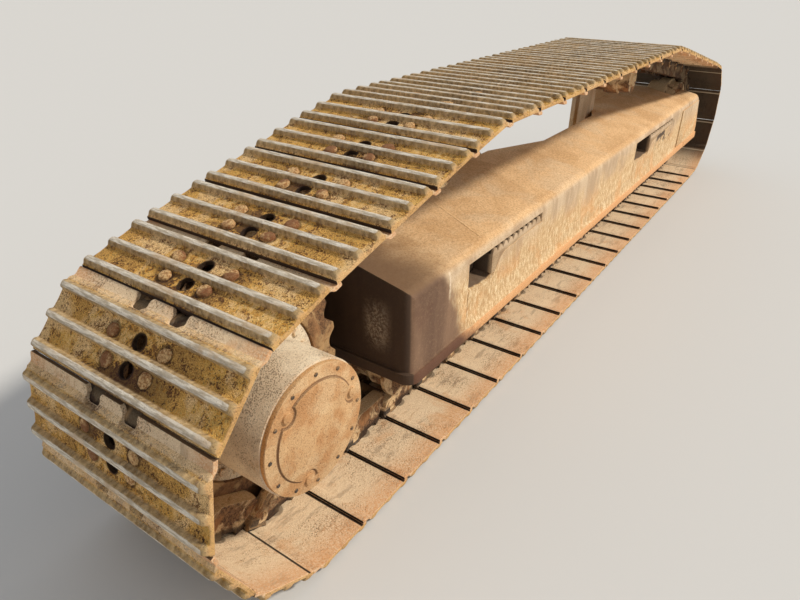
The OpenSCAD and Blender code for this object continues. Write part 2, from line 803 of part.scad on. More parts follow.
// A carrier roller on a bracket that stands on the frame
carrier_half = 96;
pad_out = 52;
bracket_half = 45;
carrier_shaft = 30;
function carrier_z(x) = rail_over(x + mid_x) - seat - carrier_r;
module carrier_roller(x) {
    color(rust)
    union() {
        turned(x, carrier_z(x))
            polygon([[0, -carrier_half], [carrier_r, -carrier_half], [carrier_r, -40], [carrier_r + 12, -36],
                     [carrier_r + 12, 36], [carrier_r, 40], [carrier_r, carrier_half], [carrier_shaft + 8, carrier_half],
                     [carrier_shaft, carrier_half + 8], [0, carrier_half + 8]]);
        bar(x, carrier_z(x), carrier_shaft, carrier_half - overlap, carrier_half + pad_out + 2);
    }
}
module carrier_bracket(x) {
    y0 = carrier_half + 8;
    color(paint)
    difference() {
        union() {
            slab(y0, y0 + bracket_half)
                polygon([[x - bracket_half - 20, inner_eave_z], [x + bracket_half + 20, inner_eave_z],
                         [x + bracket_half, carrier_z(x)], [x - bracket_half, carrier_z(x)]]);
            bar(x, carrier_z(x), bracket_half, y0, y0 + bracket_half);
        }
        bar(x, carrier_z(x), carrier_shaft + seat, y0 - overlap, y0 + bracket_half + overlap);
        translate([0, 0, seat])
            frame_shape();
    }
}
module carrier_roller_rear() { carrier_roller(sprocket_x + carrier_rear); }
module carrier_roller_front() { carrier_roller(idler_x - carrier_front); }
module carrier_bracket_rear() { carrier_bracket(sprocket_x + carrier_rear); }
module carrier_bracket_front() { carrier_bracket(idler_x - carrier_front); }

// A bottom roller with its shaft and the two collars that bolt to the flanges
roller_z = rail_z + seat + roller_r;
first_inset = 110;
last_inset = 60;
roller_first = frame_x0 + first_inset;
roller_last = frame_x1 - last_inset;
roller_step = (roller_last - roller_first) / (roller_count - 1);
roller_tread = 97;
roller_y = 112;
collar_l = 48;
collar_half = 42;
module roller_half() {
    turned(0, 0)
        polygon([[0, -overlap], [roller_r - 10, -overlap], [roller_r - 10, 36], [roller_r, 40], [roller_r, roller_tread],
                 [roller_flange_r, roller_tread + 2], [roller_flange_r, roller_y], [32, roller_y],
                 [32, flange_in + collar_l], [0, flange_in + collar_l]]);
    block(-collar_half, collar_half, -flange_in - collar_l + 8, -flange_in - 2, -34, flange_z - roller_z);
}
module bottom_roller(k) {
    if (k <= roller_count)
        color(rust)
        translate([roller_first + (k - 1) * roller_step, 0, roller_z])
            union() {
                roller_half();
                mirror([0, 1, 0])
                    roller_half();
            }
}
module bottom_roller_1() { bottom_roller(1); }
module bottom_roller_2() { bottom_roller(2); }
module bottom_roller_3() { bottom_roller(3); }
module bottom_roller_4() { bottom_roller(4); }
module bottom_roller_5() { bottom_roller(5); }
module bottom_roller_6() { bottom_roller(6); }
module bottom_roller_7() { bottom_roller(7); }
module bottom_roller_8() { bottom_roller(8); }
module bottom_roller_9() { bottom_roller(9); }

// A pair of guide plates that hang from the flanges beside the links
guide_y = strand_out + 8;
guide_t = 18;
guide_half = 60;
module track_guide(x) {
    color(paint)
    union()
        for (s = [0, 1])
            mirror([0, s, 0]) {
                slab(guide_y, guide_y + guide_t)
                    polygon([[x - guide_half, flange_z], [x - guide_half + 25, rail_z - 40],
                             [x + guide_half - 25, rail_z - 40], [x + guide_half, flange_z]]);
                block(x - guide_half - 15, x + guide_half + 15, guide_y, inner_wall, flange_z - 16, flange_z);
            }
}
module track_guide_rear() { track_guide(roller_first + roller_step * 2.5); }
module track_guide_front() { track_guide(roller_last - roller_step * 1.5); }

track();
side_frame();
drive_bracket();
front_fork_outer();
front_fork_inner();
leg_root_rear();
leg_root_front();
final_drive_drum();
final_drive_cover();
sprocket();
travel_motor();
motor_guard();
idler();
idler_shaft();
idler_block_outer();
idler_block_inner();
idler_yoke();
recoil_spring();
adjuster_cylinder();
carrier_roller_rear();
carrier_roller_front();
carrier_bracket_rear();
carrier_bracket_front();
bottom_roller_1();
bottom_roller_2();
bottom_roller_3();
bottom_roller_4();
bottom_roller_5();
bottom_roller_6();
bottom_roller_7();
bottom_roller_8();
bottom_roller_9();
track_guide_rear();
track_guide_front();
step_rear();
step_front();
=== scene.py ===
# %% [markdown]
# # Dressing a crawler track unit
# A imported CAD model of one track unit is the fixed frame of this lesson. We keep its sizes and
# places, and give it what makes the real one look real: rolled shoes with worn grousers, forged
# links, bolt heads, rounded castings, weld beads, dried mud, rust and dust.

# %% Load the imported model
import math
import random

import bmesh
import bpy
from mathutils import Matrix, Vector


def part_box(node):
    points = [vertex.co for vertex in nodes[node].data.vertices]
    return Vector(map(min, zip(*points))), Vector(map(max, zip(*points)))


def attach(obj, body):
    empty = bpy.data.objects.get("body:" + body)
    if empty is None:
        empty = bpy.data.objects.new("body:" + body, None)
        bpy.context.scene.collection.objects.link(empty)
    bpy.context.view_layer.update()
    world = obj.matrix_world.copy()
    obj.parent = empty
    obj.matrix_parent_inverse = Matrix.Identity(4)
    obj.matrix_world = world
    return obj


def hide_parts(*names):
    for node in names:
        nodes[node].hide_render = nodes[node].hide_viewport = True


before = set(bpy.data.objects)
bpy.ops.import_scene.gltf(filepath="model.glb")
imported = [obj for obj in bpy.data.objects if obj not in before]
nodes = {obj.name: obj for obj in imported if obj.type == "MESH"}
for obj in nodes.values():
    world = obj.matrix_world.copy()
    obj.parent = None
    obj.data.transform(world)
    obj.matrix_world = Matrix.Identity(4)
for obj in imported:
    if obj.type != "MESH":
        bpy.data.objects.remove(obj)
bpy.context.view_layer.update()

random.seed(20)

# %% [markdown]
# ## Camera, floor and light
# The photograph was taken with a wide lens, close to the rear corner and a little above the
# upper run of the chain. The camera's place, turn and lens come from a fit to the corners of the
# shoes, so the camera is typed in as numbers and never moved afterwards.

# %% Camera
CAMERA_AT = (-2.714845, -1.014904, 1.320349)
CAMERA_TURN = (61.136216, -0.423646, -55.312605)
camera_data = bpy.data.cameras.new("camera")
camera_data.lens = 27.991
camera_data.sensor_width = 36.0
camera_data.clip_end = 200.0
camera = bpy.data.objects.new("camera", camera_data)
camera.location = CAMERA_AT
camera.rotation_euler = [math.radians(turn) for turn in CAMERA_TURN]
bpy.context.scene.collection.objects.link(camera)
bpy.context.scene.camera = camera
print("camera", [round(c, 3) for c in camera.location])

# %% [markdown]
# Every colour in this lesson is written as the eye sees it, from 0 to 255. Shaders want linear
# light, so one helper does that change.

# %% Colour helper
def tone(red, green, blue):
    """A colour as seen on a screen, as the linear colour that a shader wants."""
    linear = []
    for level in (red, green, blue):
        level /= 255.0
        linear.append(level / 12.92 if level <= 0.04045 else ((level + 0.055) / 1.055) ** 2.4)
    return (*linear, 1.0)


# %% [markdown]
# A plain studio: a wide matt floor, one warm lamp and an even pale sky. The lamp stands in front,
# on the outer side and at half height, as the low sun does in the photograph: it lights the roof,
# the outer wall and the cover, and leaves the rear end and the backs of the grousers in shade.

# %% Floor and light
TOWARDS_LAMP = (0.38, -0.64, 0.67)
bpy.ops.object.select_all(action="DESELECT")
bpy.ops.mesh.primitive_plane_add(size=120.0, location=(0, 0, 0))
floor = bpy.context.object
floor.name = "floor"
floor_paint = bpy.data.materials.new("floor_grey")
floor_paint.use_nodes = True
floor_shader = floor_paint.node_tree.nodes["Principled BSDF"]
floor_shader.inputs["Base Color"].default_value = tone(206, 205, 202)
floor_shader.inputs["Roughness"].default_value = 0.95
floor_shader.inputs["Specular IOR Level"].default_value = 0.1
floor.data.materials.append(floor_paint)

sky = bpy.data.worlds.new("sky")
sky.use_nodes = True
sky.node_tree.nodes["Background"].inputs["Color"].default_value = tone(244, 246, 250)
sky.node_tree.nodes["Background"].inputs["Strength"].default_value = 0.55
bpy.context.scene.world = sky

lamp_data = bpy.data.lights.new("key_lamp", "SUN")
lamp_data.energy = 3.0
lamp_data.angle = math.radians(6)
lamp_data.color = (1.0, 0.94, 0.85)
lamp = bpy.data.objects.new("key_lamp", lamp_data)
lamp.rotation_euler = Vector(TOWARDS_LAMP).to_track_quat("Z", "Y").to_euler()
bpy.context.scene.collection.objects.link(lamp)
bpy.context.scene.view_settings.view_transform = "Standard"
print("floor, sky and one lamp")

# %% [markdown]
# ## Hands: a few modelling helpers
# Each piece is shaped in edit mode with Blender's own operators. The helpers below only enter
# edit mode, pick corners, edges or faces by their place, and draw an outline by extruding one
# corner from point to point, as one does by hand.

# %% Selection helpers
MM = 0.001


def leave_edit():
    if bpy.context.object and bpy.context.object.mode == "EDIT":
        bpy.ops.object.mode_set(mode="OBJECT")
    bpy.ops.object.select_all(action="DESELECT")


def choose(piece):
    """Makes one piece the only one that is selected."""
    leave_edit()
    bpy.context.view_layer.objects.active = piece
    piece.select_set(True)


def enter_edit(piece):
    choose(piece)
    bpy.ops.object.mode_set(mode="EDIT")


def pick_all():
    bpy.ops.mesh.select_all(action="SELECT")


def pick(piece, wanted, kind="VERT"):
    """Selects the corners, edges or faces whose every corner passes the test."""
    bpy.ops.mesh.select_mode(type=kind)
    bpy.ops.mesh.select_all(action="DESELECT")
    mesh = bmesh.from_edit_mesh(piece.data)
    for corner in mesh.verts:
        corner.tag = bool(wanted(corner.co))
    parts = {"VERT": mesh.verts, "EDGE": mesh.edges, "FACE": mesh.faces}[kind]
    for part in parts:
        chosen = part.tag if kind == "VERT" else all(corner.tag for corner in part.verts)
        if chosen:
            part.select_set(True)
    mesh.select_flush_mode()
    bmesh.update_edit_mesh(piece.data)


def pull(step):
    bpy.ops.mesh.extrude_region_move(TRANSFORM_OT_translate={"value": step})


def soften(piece, wanted, width, segments=1):
    """Bevels the edges that pass the test, in millimetres."""
    enter_edit(piece)
    pick(piece, wanted, "EDGE")
    bpy.ops.mesh.bevel(offset=width * MM, segments=segments, affect="EDGES")


def on_circle(middle, radius, angle):
    """A point on a circle, at an angle in degrees."""
    turn = math.radians(angle)
    return middle[0] + radius * math.cos(turn), middle[1] + radius * math.sin(turn)


# %% Starts: an outline, a bar and a block
def settled(name):
    """Names the newest object, and puts its place and size into its mesh."""
    piece = bpy.context.object
    piece.name = piece.data.name = name
    bpy.ops.object.transform_apply(location=True, rotation=True, scale=True)
    return piece


SAME_POINT = 1e-6


def drawn(name, points):
    """Draws a closed outline by extruding one corner round it, and fills it."""
    leave_edit()
    bpy.ops.mesh.primitive_plane_add(size=MM, location=points[0])
    piece = settled(name)
    enter_edit(piece)
    bpy.ops.mesh.select_mode(type="VERT")
    pick_all()
    bpy.ops.mesh.merge(type="CENTER")
    pick_all()
    route = [Vector(point) for point in (*points, points[0])]
    for start, end in zip(route, route[1:]):
        pull(end - start)
    pick_all()
    bpy.ops.mesh.remove_doubles(threshold=SAME_POINT)
    bpy.ops.mesh.edge_face_add()
    return piece


def rod(name, radius, depth, centre, sides, axis="Z"):
    """A round bar that is only a tool for cutting, or the start of a bolt."""
    leave_edit()
    turn = {"X": (0, math.pi / 2, 0), "Y": (math.pi / 2, 0, 0), "Z": (0, 0, 0)}[axis]
    bpy.ops.mesh.primitive_cylinder_add(vertices=sides, radius=radius * MM, depth=depth * MM,
                                        location=Vector(centre) * MM, rotation=turn)
    return settled(name)


def block(name, size, centre):
    """The start of a pad or a clod."""
    leave_edit()
    bpy.ops.mesh.primitive_cube_add(size=1.0, location=[c * MM for c in centre])
    bpy.context.object.scale = [c * MM for c in size]
    return settled(name)


# %% Finishing helpers
def closed(piece, angle=35.0):
    """Merges doubles, turns the faces outwards and smooths all but sharp edges."""
    enter_edit(piece)
    pick_all()
    bpy.ops.mesh.remove_doubles(threshold=SAME_POINT)
    bpy.ops.mesh.normals_make_consistent(inside=False)
    choose(piece)
    bpy.ops.object.shade_smooth_by_angle(angle=math.radians(angle))
    return piece


def applied(piece, kind, **settings):
    """Adds a modifier with its settings and applies it."""
    choose(piece)
    modifier = piece.modifiers.new(kind.lower(), kind)
    for key, value in settings.items():
        setattr(modifier, key, value)
    bpy.ops.object.modifier_apply(modifier=modifier.name)
    return piece


def joined(name, pieces):
    leave_edit()
    for piece in pieces:
        piece.select_set(True)
    bpy.context.view_layer.objects.active = pieces[0]
    if len(pieces) > 1:
        bpy.ops.object.join()
    whole = bpy.context.object
    whole.name = whole.data.name = name
    return whole


def copy_at(piece, place):
    """A copy of a piece with its own mesh, moved by a matrix."""
    twin = piece.copy()
    twin.data = piece.data.copy()
    twin.data.transform(place)
    bpy.context.scene.collection.objects.link(twin)
    return twin


def repeated(name, piece, places):
    """Copies a piece to each place and joins the copies; the first one goes."""
    whole = joined(name, [copy_at(piece, place) for place in places])
    bpy.data.objects.remove(piece)
    return whole


def triangles(piece):
    return sum(len(face.vertices) - 2 for face in piece.data.polygons)


def placed(piece, finish, slot, *stands_for, body="undercarriage"):
    """Gives a finished piece its material, its body and the nodes it stands for."""
    leave_edit()
    piece.data.materials.clear()
    piece.data.materials.append(finish)
    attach(piece, body)
    if stands_for:
        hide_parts(*stands_for)
    print(piece.name, triangles(piece), "triangles")
    return piece


# %% [markdown]
# ## Finishes
# The whole unit wears four things over its steel: ochre dust, rust, the rest of its yellow paint
# and black oily dirt. They come in patches of a hand's width, broken up by specks of a few
# millimetres. Both are noise at different sizes, so they are one node group with named inputs,
# and each material asks it for patches and specks of its own size. A mask is a sum of such noises
# that rises or falls between two levels, and a small class lets us write it as a plain sum.

# %% Values that add up
class Value:
    """What a node puts out. It adds and multiplies like a number, each time by one more node."""

    def __init__(self, wires, socket):
        self.wires, self.socket = wires, socket

    def __add__(self, other):
        return self.wires.sum("ADD", self, other)

    def __sub__(self, other):
        return self.wires.sum("SUBTRACT", self, other)

    def __rsub__(self, other):
        return self.wires.sum("SUBTRACT", other, self)

    def __mul__(self, other):
        return self.wires.sum("MULTIPLY", self, other)

    def __abs__(self):
        return self.wires.sum("ABSOLUTE", self)

    def step(self, low, high, start, end):
        """A smooth change from start to end as the value goes from low to high."""
        inputs = {"Value": self, "From Min": low, "From Max": high, "To Min": start, "To Max": end}
        return self.wires.add("ShaderNodeMapRange", "Result", inputs, interpolation_type="SMOOTHSTEP")

    def rise(self, low, high, top=1.0):
        return self.step(low, high, 0.0, top)

    def fall(self, low, high, top=1.0):
        return self.step(low, high, top, 0.0)


# %% Wiring helper
class Wiring:
    """Adds nodes to a tree and joins them in one line each."""

    def __init__(self, tree):
        self.tree = tree

    def feed(self, socket, value):
        """Joins a value to a socket, or types a number or a colour into it."""
        if isinstance(value, Value):
            self.tree.links.new(value.socket, socket)
        else:
            socket.default_value = value

    def node(self, kind, inputs=None, **settings):
        node = self.tree.nodes.new(kind)
        for key, value in settings.items():
            setattr(node, key, value)
        for key, value in (inputs or {}).items():
            self.feed(node.inputs[key], value)
        return node

    def add(self, kind, output, inputs=None, **settings):
        """Adds a node and gives one of the values that it puts out."""
        return Value(self, self.node(kind, inputs, **settings).outputs[output])

    def noise(self, place, scale, detail=3.0, rough=0.55, warp=0.0):
        return self.add("ShaderNodeTexNoise", "Fac", {"Vector": place, "Scale": scale, "Detail": detail,
                                                      "Roughness": rough, "Distortion": warp})

    def sum(self, operation, first, second=0.0):
        return self.add("ShaderNodeMath", 0, {0: first, 1: second}, operation=operation)

    def length(self, first, second):
        return self.sum("SQRT", first * first + second * second)

    def mix(self, share, under, over):
        """One colour over another, by a share from 0 to 1. Three numbers are a colour as seen."""
        under, over = (tone(*colour) if isinstance(colour, tuple) else colour for colour in (under, over))
        return self.add("ShaderNodeMix", 2, {0: share, 6: under, 7: over}, data_type="RGBA")

    def layers(self, colour, *layers):
        """Lays colours over a first one, each with the mask of where it shows."""
        for mask, over in layers:
            colour = self.mix(mask, colour, over)
        return colour

    def parts(self, vector):
        outputs = self.node("ShaderNodeSeparateXYZ", {"Vector": vector}).outputs
        return [Value(self, outputs[axis]) for axis in "XYZ"]


# %% Weathering group: patches, specks and pits
class Group(Wiring):
    """A node group with named inputs, and outputs that are fed by name."""

    def __init__(self, name, inputs, outputs):
        super().__init__(bpy.data.node_groups.new(name, "ShaderNodeTree"))
        for side, sockets in (("INPUT", inputs), ("OUTPUT", outputs)):
            for label, kind in sockets.items():
                self.tree.interface.new_socket(label, in_out=side, socket_type="NodeSocket" + kind)
        given = self.node("NodeGroupInput").outputs
        self.given = [Value(self, given[label]) for label in inputs]
        self.result = self.node("NodeGroupOutput").inputs
        print("node group", self.tree.name)


MASKS = ("Patches", "Drift", "Specks", "Grain", "Pits")
weather = Group("weather", {"Place": "Vector", "Patch Scale": "Float", "Speck Scale": "Float"},
                dict.fromkeys(MASKS, "Float"))
place, patch_scale, speck_scale = weather.given
shifted = weather.add("ShaderNodeVectorMath", 0, {0: place, 1: (3.7, 1.9, 5.3)}, operation="ADD")
cells = weather.add("ShaderNodeTexVoronoi", "Distance",
                    {"Vector": place, "Scale": speck_scale, "Randomness": 1.0})
pit_size = weather.noise(shifted, patch_scale, 3.0).step(0.38, 0.68, 0.12, 0.5)
for label, mask in zip(MASKS, (weather.noise(place, patch_scale, 5.0, 0.62, 0.4),
                               weather.noise(shifted, patch_scale, 4.0, 0.58, 0.3),
                               weather.noise(place, speck_scale, 4.0, 0.75),
                               weather.noise(shifted, speck_scale * 2.3, 3.0, 0.75),
                               (pit_size - cells).rise(0.0, 0.12))):
    weather.feed(weather.result[label], mask)

# %% [markdown]
# Steel shines through where a tool, a boot or the ground rubs: on every edge that stands out.
# Blender's Bevel node gives the normal of a rounded copy of the surface, and where that differs
# from the real one there is an edge.

# %% Edge group: where edges wear
edges = Group("edge_wear", {"Width": "Float", "Breakup": "Float"}, {"Edge": "Float"})
width, breakup = edges.given
rounded = edges.add("ShaderNodeBevel", "Normal", {"Radius": width}, samples=6)
real = edges.add("ShaderNodeNewGeometry", "Normal")
agreement = edges.add("ShaderNodeVectorMath", "Value", {0: rounded, 1: real}, operation="DOT_PRODUCT")
edges.feed(edges.result["Edge"], agreement.fall(0.8, 0.995) * breakup.step(0.35, 0.65, 0.25, 1.0))

# %% [markdown]
# Forged and cast steel is dark brown here, with rust in drifts, and sand lies on what faces up.
# Links, rollers and idler share this, so it is a group too, and takes the material's own masks.

# %% Brown steel group
STEEL_MASKS = MASKS[:4]
brown = Group("brown_steel", dict.fromkeys((*STEEL_MASKS, "Upward"), "Float"), {"Colour": "Color"})
patches, drift, specks, grain, upward = brown.given
sand = brown.mix(grain.rise(0.42, 0.58), (198, 164, 118), (238, 210, 166))
brown.feed(brown.result["Colour"], brown.layers(
    brown.mix(specks.rise(0.42, 0.58), (76, 56, 42), (140, 104, 72)),
    (drift.rise(0.48, 0.6, 0.6), (172, 120, 74)),
    ((upward * 0.12 + patches).rise(0.46, 0.56, 0.85), sand)))


# %% Material helper
class Finish(Wiring):
    """A material: its shader, its Object coordinates and the shared groups."""

    def __init__(self, name, patch_scale, speck_scale):
        self.material = bpy.data.materials.new(name)
        self.material.use_nodes = True
        super().__init__(self.material.node_tree)
        self.place = self.add("ShaderNodeTexCoord", "Object")
        scales = {"Place": self.place, "Patch Scale": patch_scale, "Speck Scale": speck_scale}
        masks = self.node("ShaderNodeGroup", scales, node_tree=weather.tree).outputs
        self.masks = {label: Value(self, masks[label]) for label in MASKS}

    def edge(self, width, breakup):
        return self.add("ShaderNodeGroup", "Edge", {"Width": width, "Breakup": breakup}, node_tree=edges.tree)

    def upward(self):
        """How much the surface faces the sky, from -1 to 1."""
        return self.parts(self.add("ShaderNodeTexCoord", "Normal"))[2]

    def brown_steel(self):
        masks = {label: self.masks[label] for label in STEEL_MASKS}
        return self.add("ShaderNodeGroup", "Colour", {**masks, "Upward": self.upward()}, node_tree=brown.tree)

    def spot(self):
        """A point's own place on the chain: along it, to the side and out from it."""
        return self.parts(self.add("ShaderNodeAttribute", "Vector", attribute_name="spot"))

    def stretched(self, scale, detail, rough):
        """Noise that is drawn out along the axes with the smaller scales."""
        place = self.add("ShaderNodeMapping", "Vector", {"Vector": self.place, "Scale": scale})
        return self.noise(place, 1.0, detail, rough)

    def flat_noise(self, across, along, detail, rough):
        place = self.add("ShaderNodeCombineXYZ", "Vector", {"X": across, "Y": along})
        return self.noise(place, 1.0, detail, rough)

    def finish(self, colour, roughness, height, depth, metallic=0.0):
        bump = self.add("ShaderNodeBump", "Normal", {"Strength": 0.8, "Distance": depth, "Height": height})
        sockets = self.tree.nodes["Principled BSDF"].inputs
        for label, value in (("Base Color", colour), ("Roughness", roughness), ("Metallic", metallic),
                             ("Normal", bump), ("Specular IOR Level", 0.3)):
            self.feed(sockets[label], value)
        print("material", self.material.name)
        return self.material


def started(name, patch_scale, speck_scale, labels):
    """Starts a material, and gives it with the masks that are asked for."""
    look = Finish(name, patch_scale, speck_scale)
    return look, *(look.masks[label] for label in labels)


# %% [markdown]
# ### Shoes
# The ground polishes the crests to a dull silver, mud dries in the valleys with rust and yellow
# paint between its crumbs, and painted shade darkens the mud holes and the plate round the bolts' feet.
# Which is which depends on the height above the plate and the distance from the middle, so each
# shoe carries its own place along, across and out from the chain as an attribute. All its lengths
# are in metres.

# %% Shoe steel: what lies in the valleys
HOLES = ((56, 0), (115, 0))
BOLTS = ((57, -80), (57, 86), (115, 66), (115, -60))
look, patches, drift, specks, grain, pits = started("shoe_steel", 7.0, 210.0, MASKS)
along, side, out = look.spot()
across = abs(side)
middle = (across + (drift - 0.5) * 0.3).fall(0.04, 0.22)
clods = look.noise(look.place, 55.0, 4.0, 0.7)
crumbs = specks + (clods - 0.5) * 0.7 + middle * 0.04
paint = (patches + middle * 0.05).rise(0.5, 0.57) * clods.step(0.4, 0.52, 0.3, 0.9)
oily = (drift + specks * 0.35).rise(0.7, 0.76) * (middle + 0.25)
dust = look.mix(grain.rise(0.45, 0.55), (194, 150, 92), (250, 216, 158))
golden = look.mix(grain.rise(0.45, 0.55), (178, 126, 58), (238, 190, 104))
yellow = look.mix(specks.rise(0.44, 0.56), (200, 142, 58), (250, 210, 120))
colour = look.layers(
    look.mix(drift.rise(0.45, 0.54), dust, golden),
    (paint, yellow),
    (crumbs.rise(0.55, 0.6, 0.88), (104, 62, 34)),
    (pits * clods.step(0.48, 0.6, 0.1, 0.9), (48, 30, 20)),
    (oily * 0.7, (78, 48, 34)))
print("valleys")

# %% Shoe steel: flanks, crests and ends
streaks = look.flat_noise(side * 70.0, out * 40.0, 4.0, 0.6)
olive = look.mix(streaks.rise(0.32, 0.68), (136, 114, 82), (212, 186, 144))
scratches = look.flat_noise(side * 22.0, along * 150.0, 5.0, 0.65)
polished = look.layers(
    look.mix(scratches.rise(0.42, 0.58), (192, 178, 156), (240, 230, 212)),
    (patches.rise(0.52, 0.64, 0.5), (210, 174, 130)),
    (grain.rise(0.56, 0.66, 0.5), (150, 124, 92)))
flank = out.rise(0.0428, 0.049)
crest = (out + (clods - 0.5) * 0.0025).rise(0.0562, 0.0574)
ends = across.rise(0.2945, 0.2985)
colour = look.layers(
    colour,
    (flank * 0.75, olive),
    (crest * drift.step(0.3, 0.55, 0.75, 0.98), polished),
    (ends * specks.step(0.42, 0.6, 0.8, 0.4), (216, 170, 116)))
print("flanks, crests and ends")

# %% [markdown]
# The inner face shows where the chain hangs free. It is sandy and scraped, with dark lines of
# painted shadow where one shoe tucks under the next. By the idler the face gets painted shade, and
# those lines are pale painted highlights. On the straight run the groove behind each lip, the shoe's
# rear edge face and the lip's edge get painted shade, almost black; round the sprocket that edge's
# painted shade is brown.

# %% Shoe steel: the inner face and the lips, with painted shade and highlights
scrapes = look.stretched((14.0, 60.0, 14.0), 5.0, 0.7)
smears = look.stretched((9.0, 34.0, 9.0), 4.0, 0.6)
sandy = look.layers(
    look.mix(grain.rise(0.4, 0.6), (224, 192, 152), (246, 222, 186)),
    (scrapes.rise(0.54, 0.68, 0.5), (196, 152, 108)),
    ((specks + drift * 0.4).rise(0.76, 0.84, 0.7), (160, 112, 72)),
    (pits * scrapes.rise(0.42, 0.6, 0.7), (88, 62, 44)),
    (patches.rise(0.55, 0.7, 0.5), (218, 160, 104)),
    (smears.rise(0.55, 0.66, 0.55), (172, 146, 118)))
outer_end = across.rise(0.2, 0.29) * specks.step(0.4, 0.6, 0.3, 0.8)
rusty_end = look.mix(outer_end, sandy, (222, 160, 106))
shade = look.mix(patches, (26, 20, 15), (66, 50, 37))
x, z = look.parts(look.place)[::2]
straight = x.rise(-2.06, -2.0)
# Painted shade by the idler: the inner face there is darkened.
idler_shade = (x + z * 0.3).rise(1.98, 2.16) * z.rise(0.03, 0.15, 0.92)
inside = out.fall(0.0325, 0.0335)
lip = along.fall(-0.003, 0.004)
# Painted shade on the straight run: the groove behind each lip and the shoe's rear edge face.
groove_shade = straight * along.fall(-0.01, -0.006, 0.85)
shaded_rear_face = along.rise(0.1695, 0.1705)
# Painted shadow where the lip steps under the next shoe; by the idler it is a pale painted highlight.
seam_shade_and_highlight = abs(along - 0.1535).fall(0.003, 0.005, 0.95) * inside
# Painted shade on the lip's end face: near black on the straight run, brown round the sprocket.
tip = along.fall(-0.0343, -0.0338, 0.97)
colour = look.layers(
    colour,
    (lip * 0.6, sandy),
    (groove_shade, (44, 32, 24)),
    (shaded_rear_face, (60, 44, 32)),
    (inside, look.mix(idler_shade, rusty_end, shade)),
    (seam_shade_and_highlight, look.mix(idler_shade, (34, 24, 18), (196, 178, 150))),
    (tip, look.mix(straight, (104, 78, 54), (30, 22, 17))))
print("inner face and lips")

# %% Shoe steel: painted shade round the holes and bolts
# Painted shade: the mud holes and the plate round each bolt's foot are darkened nearly to black.
on_plate = out.fall(0.0425, 0.0438)
ragged = (specks - 0.5) * 0.008
for middles, near, far, share in ((HOLES, 0.019, 0.0225, 0.95), (BOLTS, 0.0195, 0.024, 0.6)):
    for s, y in middles:
        reach = look.length(along - s * MM, side - y * MM) + ragged
        colour = look.mix(on_plate * reach.fall(near, far, share), colour, (46, 30, 21))
relief = specks + grain * 0.6 + clods * 0.9 - pits * 0.5
shoe_steel = look.finish(colour, 0.92 - crest * 0.36, relief, 0.004, crest * 0.15)

# %% Dirt on the bolt heads
look, drift, specks, grain = started("bolt_dirt", 9.0, 180.0, ("Drift", "Specks", "Grain"))
colour = look.layers(
    look.mix(specks.rise(0.42, 0.58), (176, 124, 76), (232, 194, 138)),
    (drift.rise(0.48, 0.56, 0.8), (130, 80, 50)),
    (grain.rise(0.56, 0.66, 0.7), (84, 54, 36)))
bolt_dirt = look.finish(colour, grain.step(0.3, 0.7, 0.85, 0.97), specks + grain, 0.005)

# %% [markdown]
# ### Castings and forgings
# Rollers and idler wear the brown steel with rubbed edges. The links are the same steel, with
# painted shade close under the shoe and more painted shade towards the idler. The sprocket's own
# edges are rubbed paler, and dust lies on it in patches.

# %% Rusty steel
look, specks, grain = started("rusty_steel", 11.0, 170.0, ("Specks", "Grain"))
rub = look.edge(0.004, specks)
colour = look.mix(rub * 0.6, look.brown_steel(), (188, 164, 132))
rusty_steel = look.finish(colour, rub.step(0.0, 1.0, 0.9, 0.55), specks + grain * 0.5, 0.003)

# %% Link steel, with painted shade under the shoe
look, specks, grain = started("link_steel", 11.0, 170.0, ("Specks", "Grain"))
# Painted shade: the link darkens close under the shoe, and again towards the idler.
under_shoe_shade = (look.spot()[2] + (specks - 0.5) * 0.012).rise(0.004, 0.014, 0.8)
shaded = look.parts(look.place)[0].rise(0.7, 1.3, 0.7)
colour = look.layers(look.brown_steel(), (under_shoe_shade, (46, 34, 26)), (shaded, (60, 44, 33)))
link_steel = look.finish(colour, specks.step(0.3, 0.7, 0.8, 0.95), specks + grain * 0.5, 0.003)

# %% Dark sprocket steel
look, patches, drift, specks, grain = started("sprocket_steel", 11.0, 190.0, STEEL_MASKS)
rub = look.edge(0.005, specks)
colour = look.layers(
    look.mix(specks.rise(0.4, 0.6), (88, 64, 46), (142, 104, 70)),
    (drift.rise(0.46, 0.6, 0.6), (168, 124, 82)),
    (patches.rise(0.52, 0.62, 0.7), (196, 160, 112)),
    (rub * 0.55, (214, 182, 138)))
sprocket_steel = look.finish(colour, rub.step(0.0, 1.0, 0.9, 0.6), specks + grain * 0.5, 0.003)

# %% [markdown]
# ### Paint under dust
# The frame was yellow once. Its roof holds an even coat of ochre dust that ends brown at the rear
# edge. The rear end and the first half metre of the wall are stained dark brown with oil, with a
# pale smudge on the end and faint streaks, and painted shade darkens the rear end face more.
# Further forward the wall is sandy at its foot and paler under the eave.

# %% Frame paint: the roof
look, patches, drift, specks, grain = started("frame_paint", 5.0, 260.0, STEEL_MASKS)
x, y, z = look.parts(look.place)
cloudy = patches - 0.5
mottle = look.noise(look.place, 130.0, 4.0, 0.8)
roof = (look.upward() + cloudy * 0.3).rise(0.3, 0.75) * z.rise(0.4, 0.46)
rear_edge = (x + cloudy * 0.3).fall(-1.46, -1.18, 0.9)
ochre = look.layers(
    look.mix(drift.rise(0.38, 0.62), (232, 192, 142), (212, 170, 120)),
    (patches.rise(0.46, 0.66, 0.6), (222, 194, 156)),
    (mottle.rise(0.5, 0.6, 0.42), (166, 122, 80)),
    (mottle.fall(0.38, 0.46, 0.4), (248, 220, 176)),
    (specks.rise(0.56, 0.64, 0.35), (150, 106, 68)),
    (rear_edge, (112, 86, 64)))
print("roof")

# %% Frame paint: the rear end, its stain and its painted shade
runs = look.stretched((16.0, 16.0, 3.0), 4.0, 0.6)
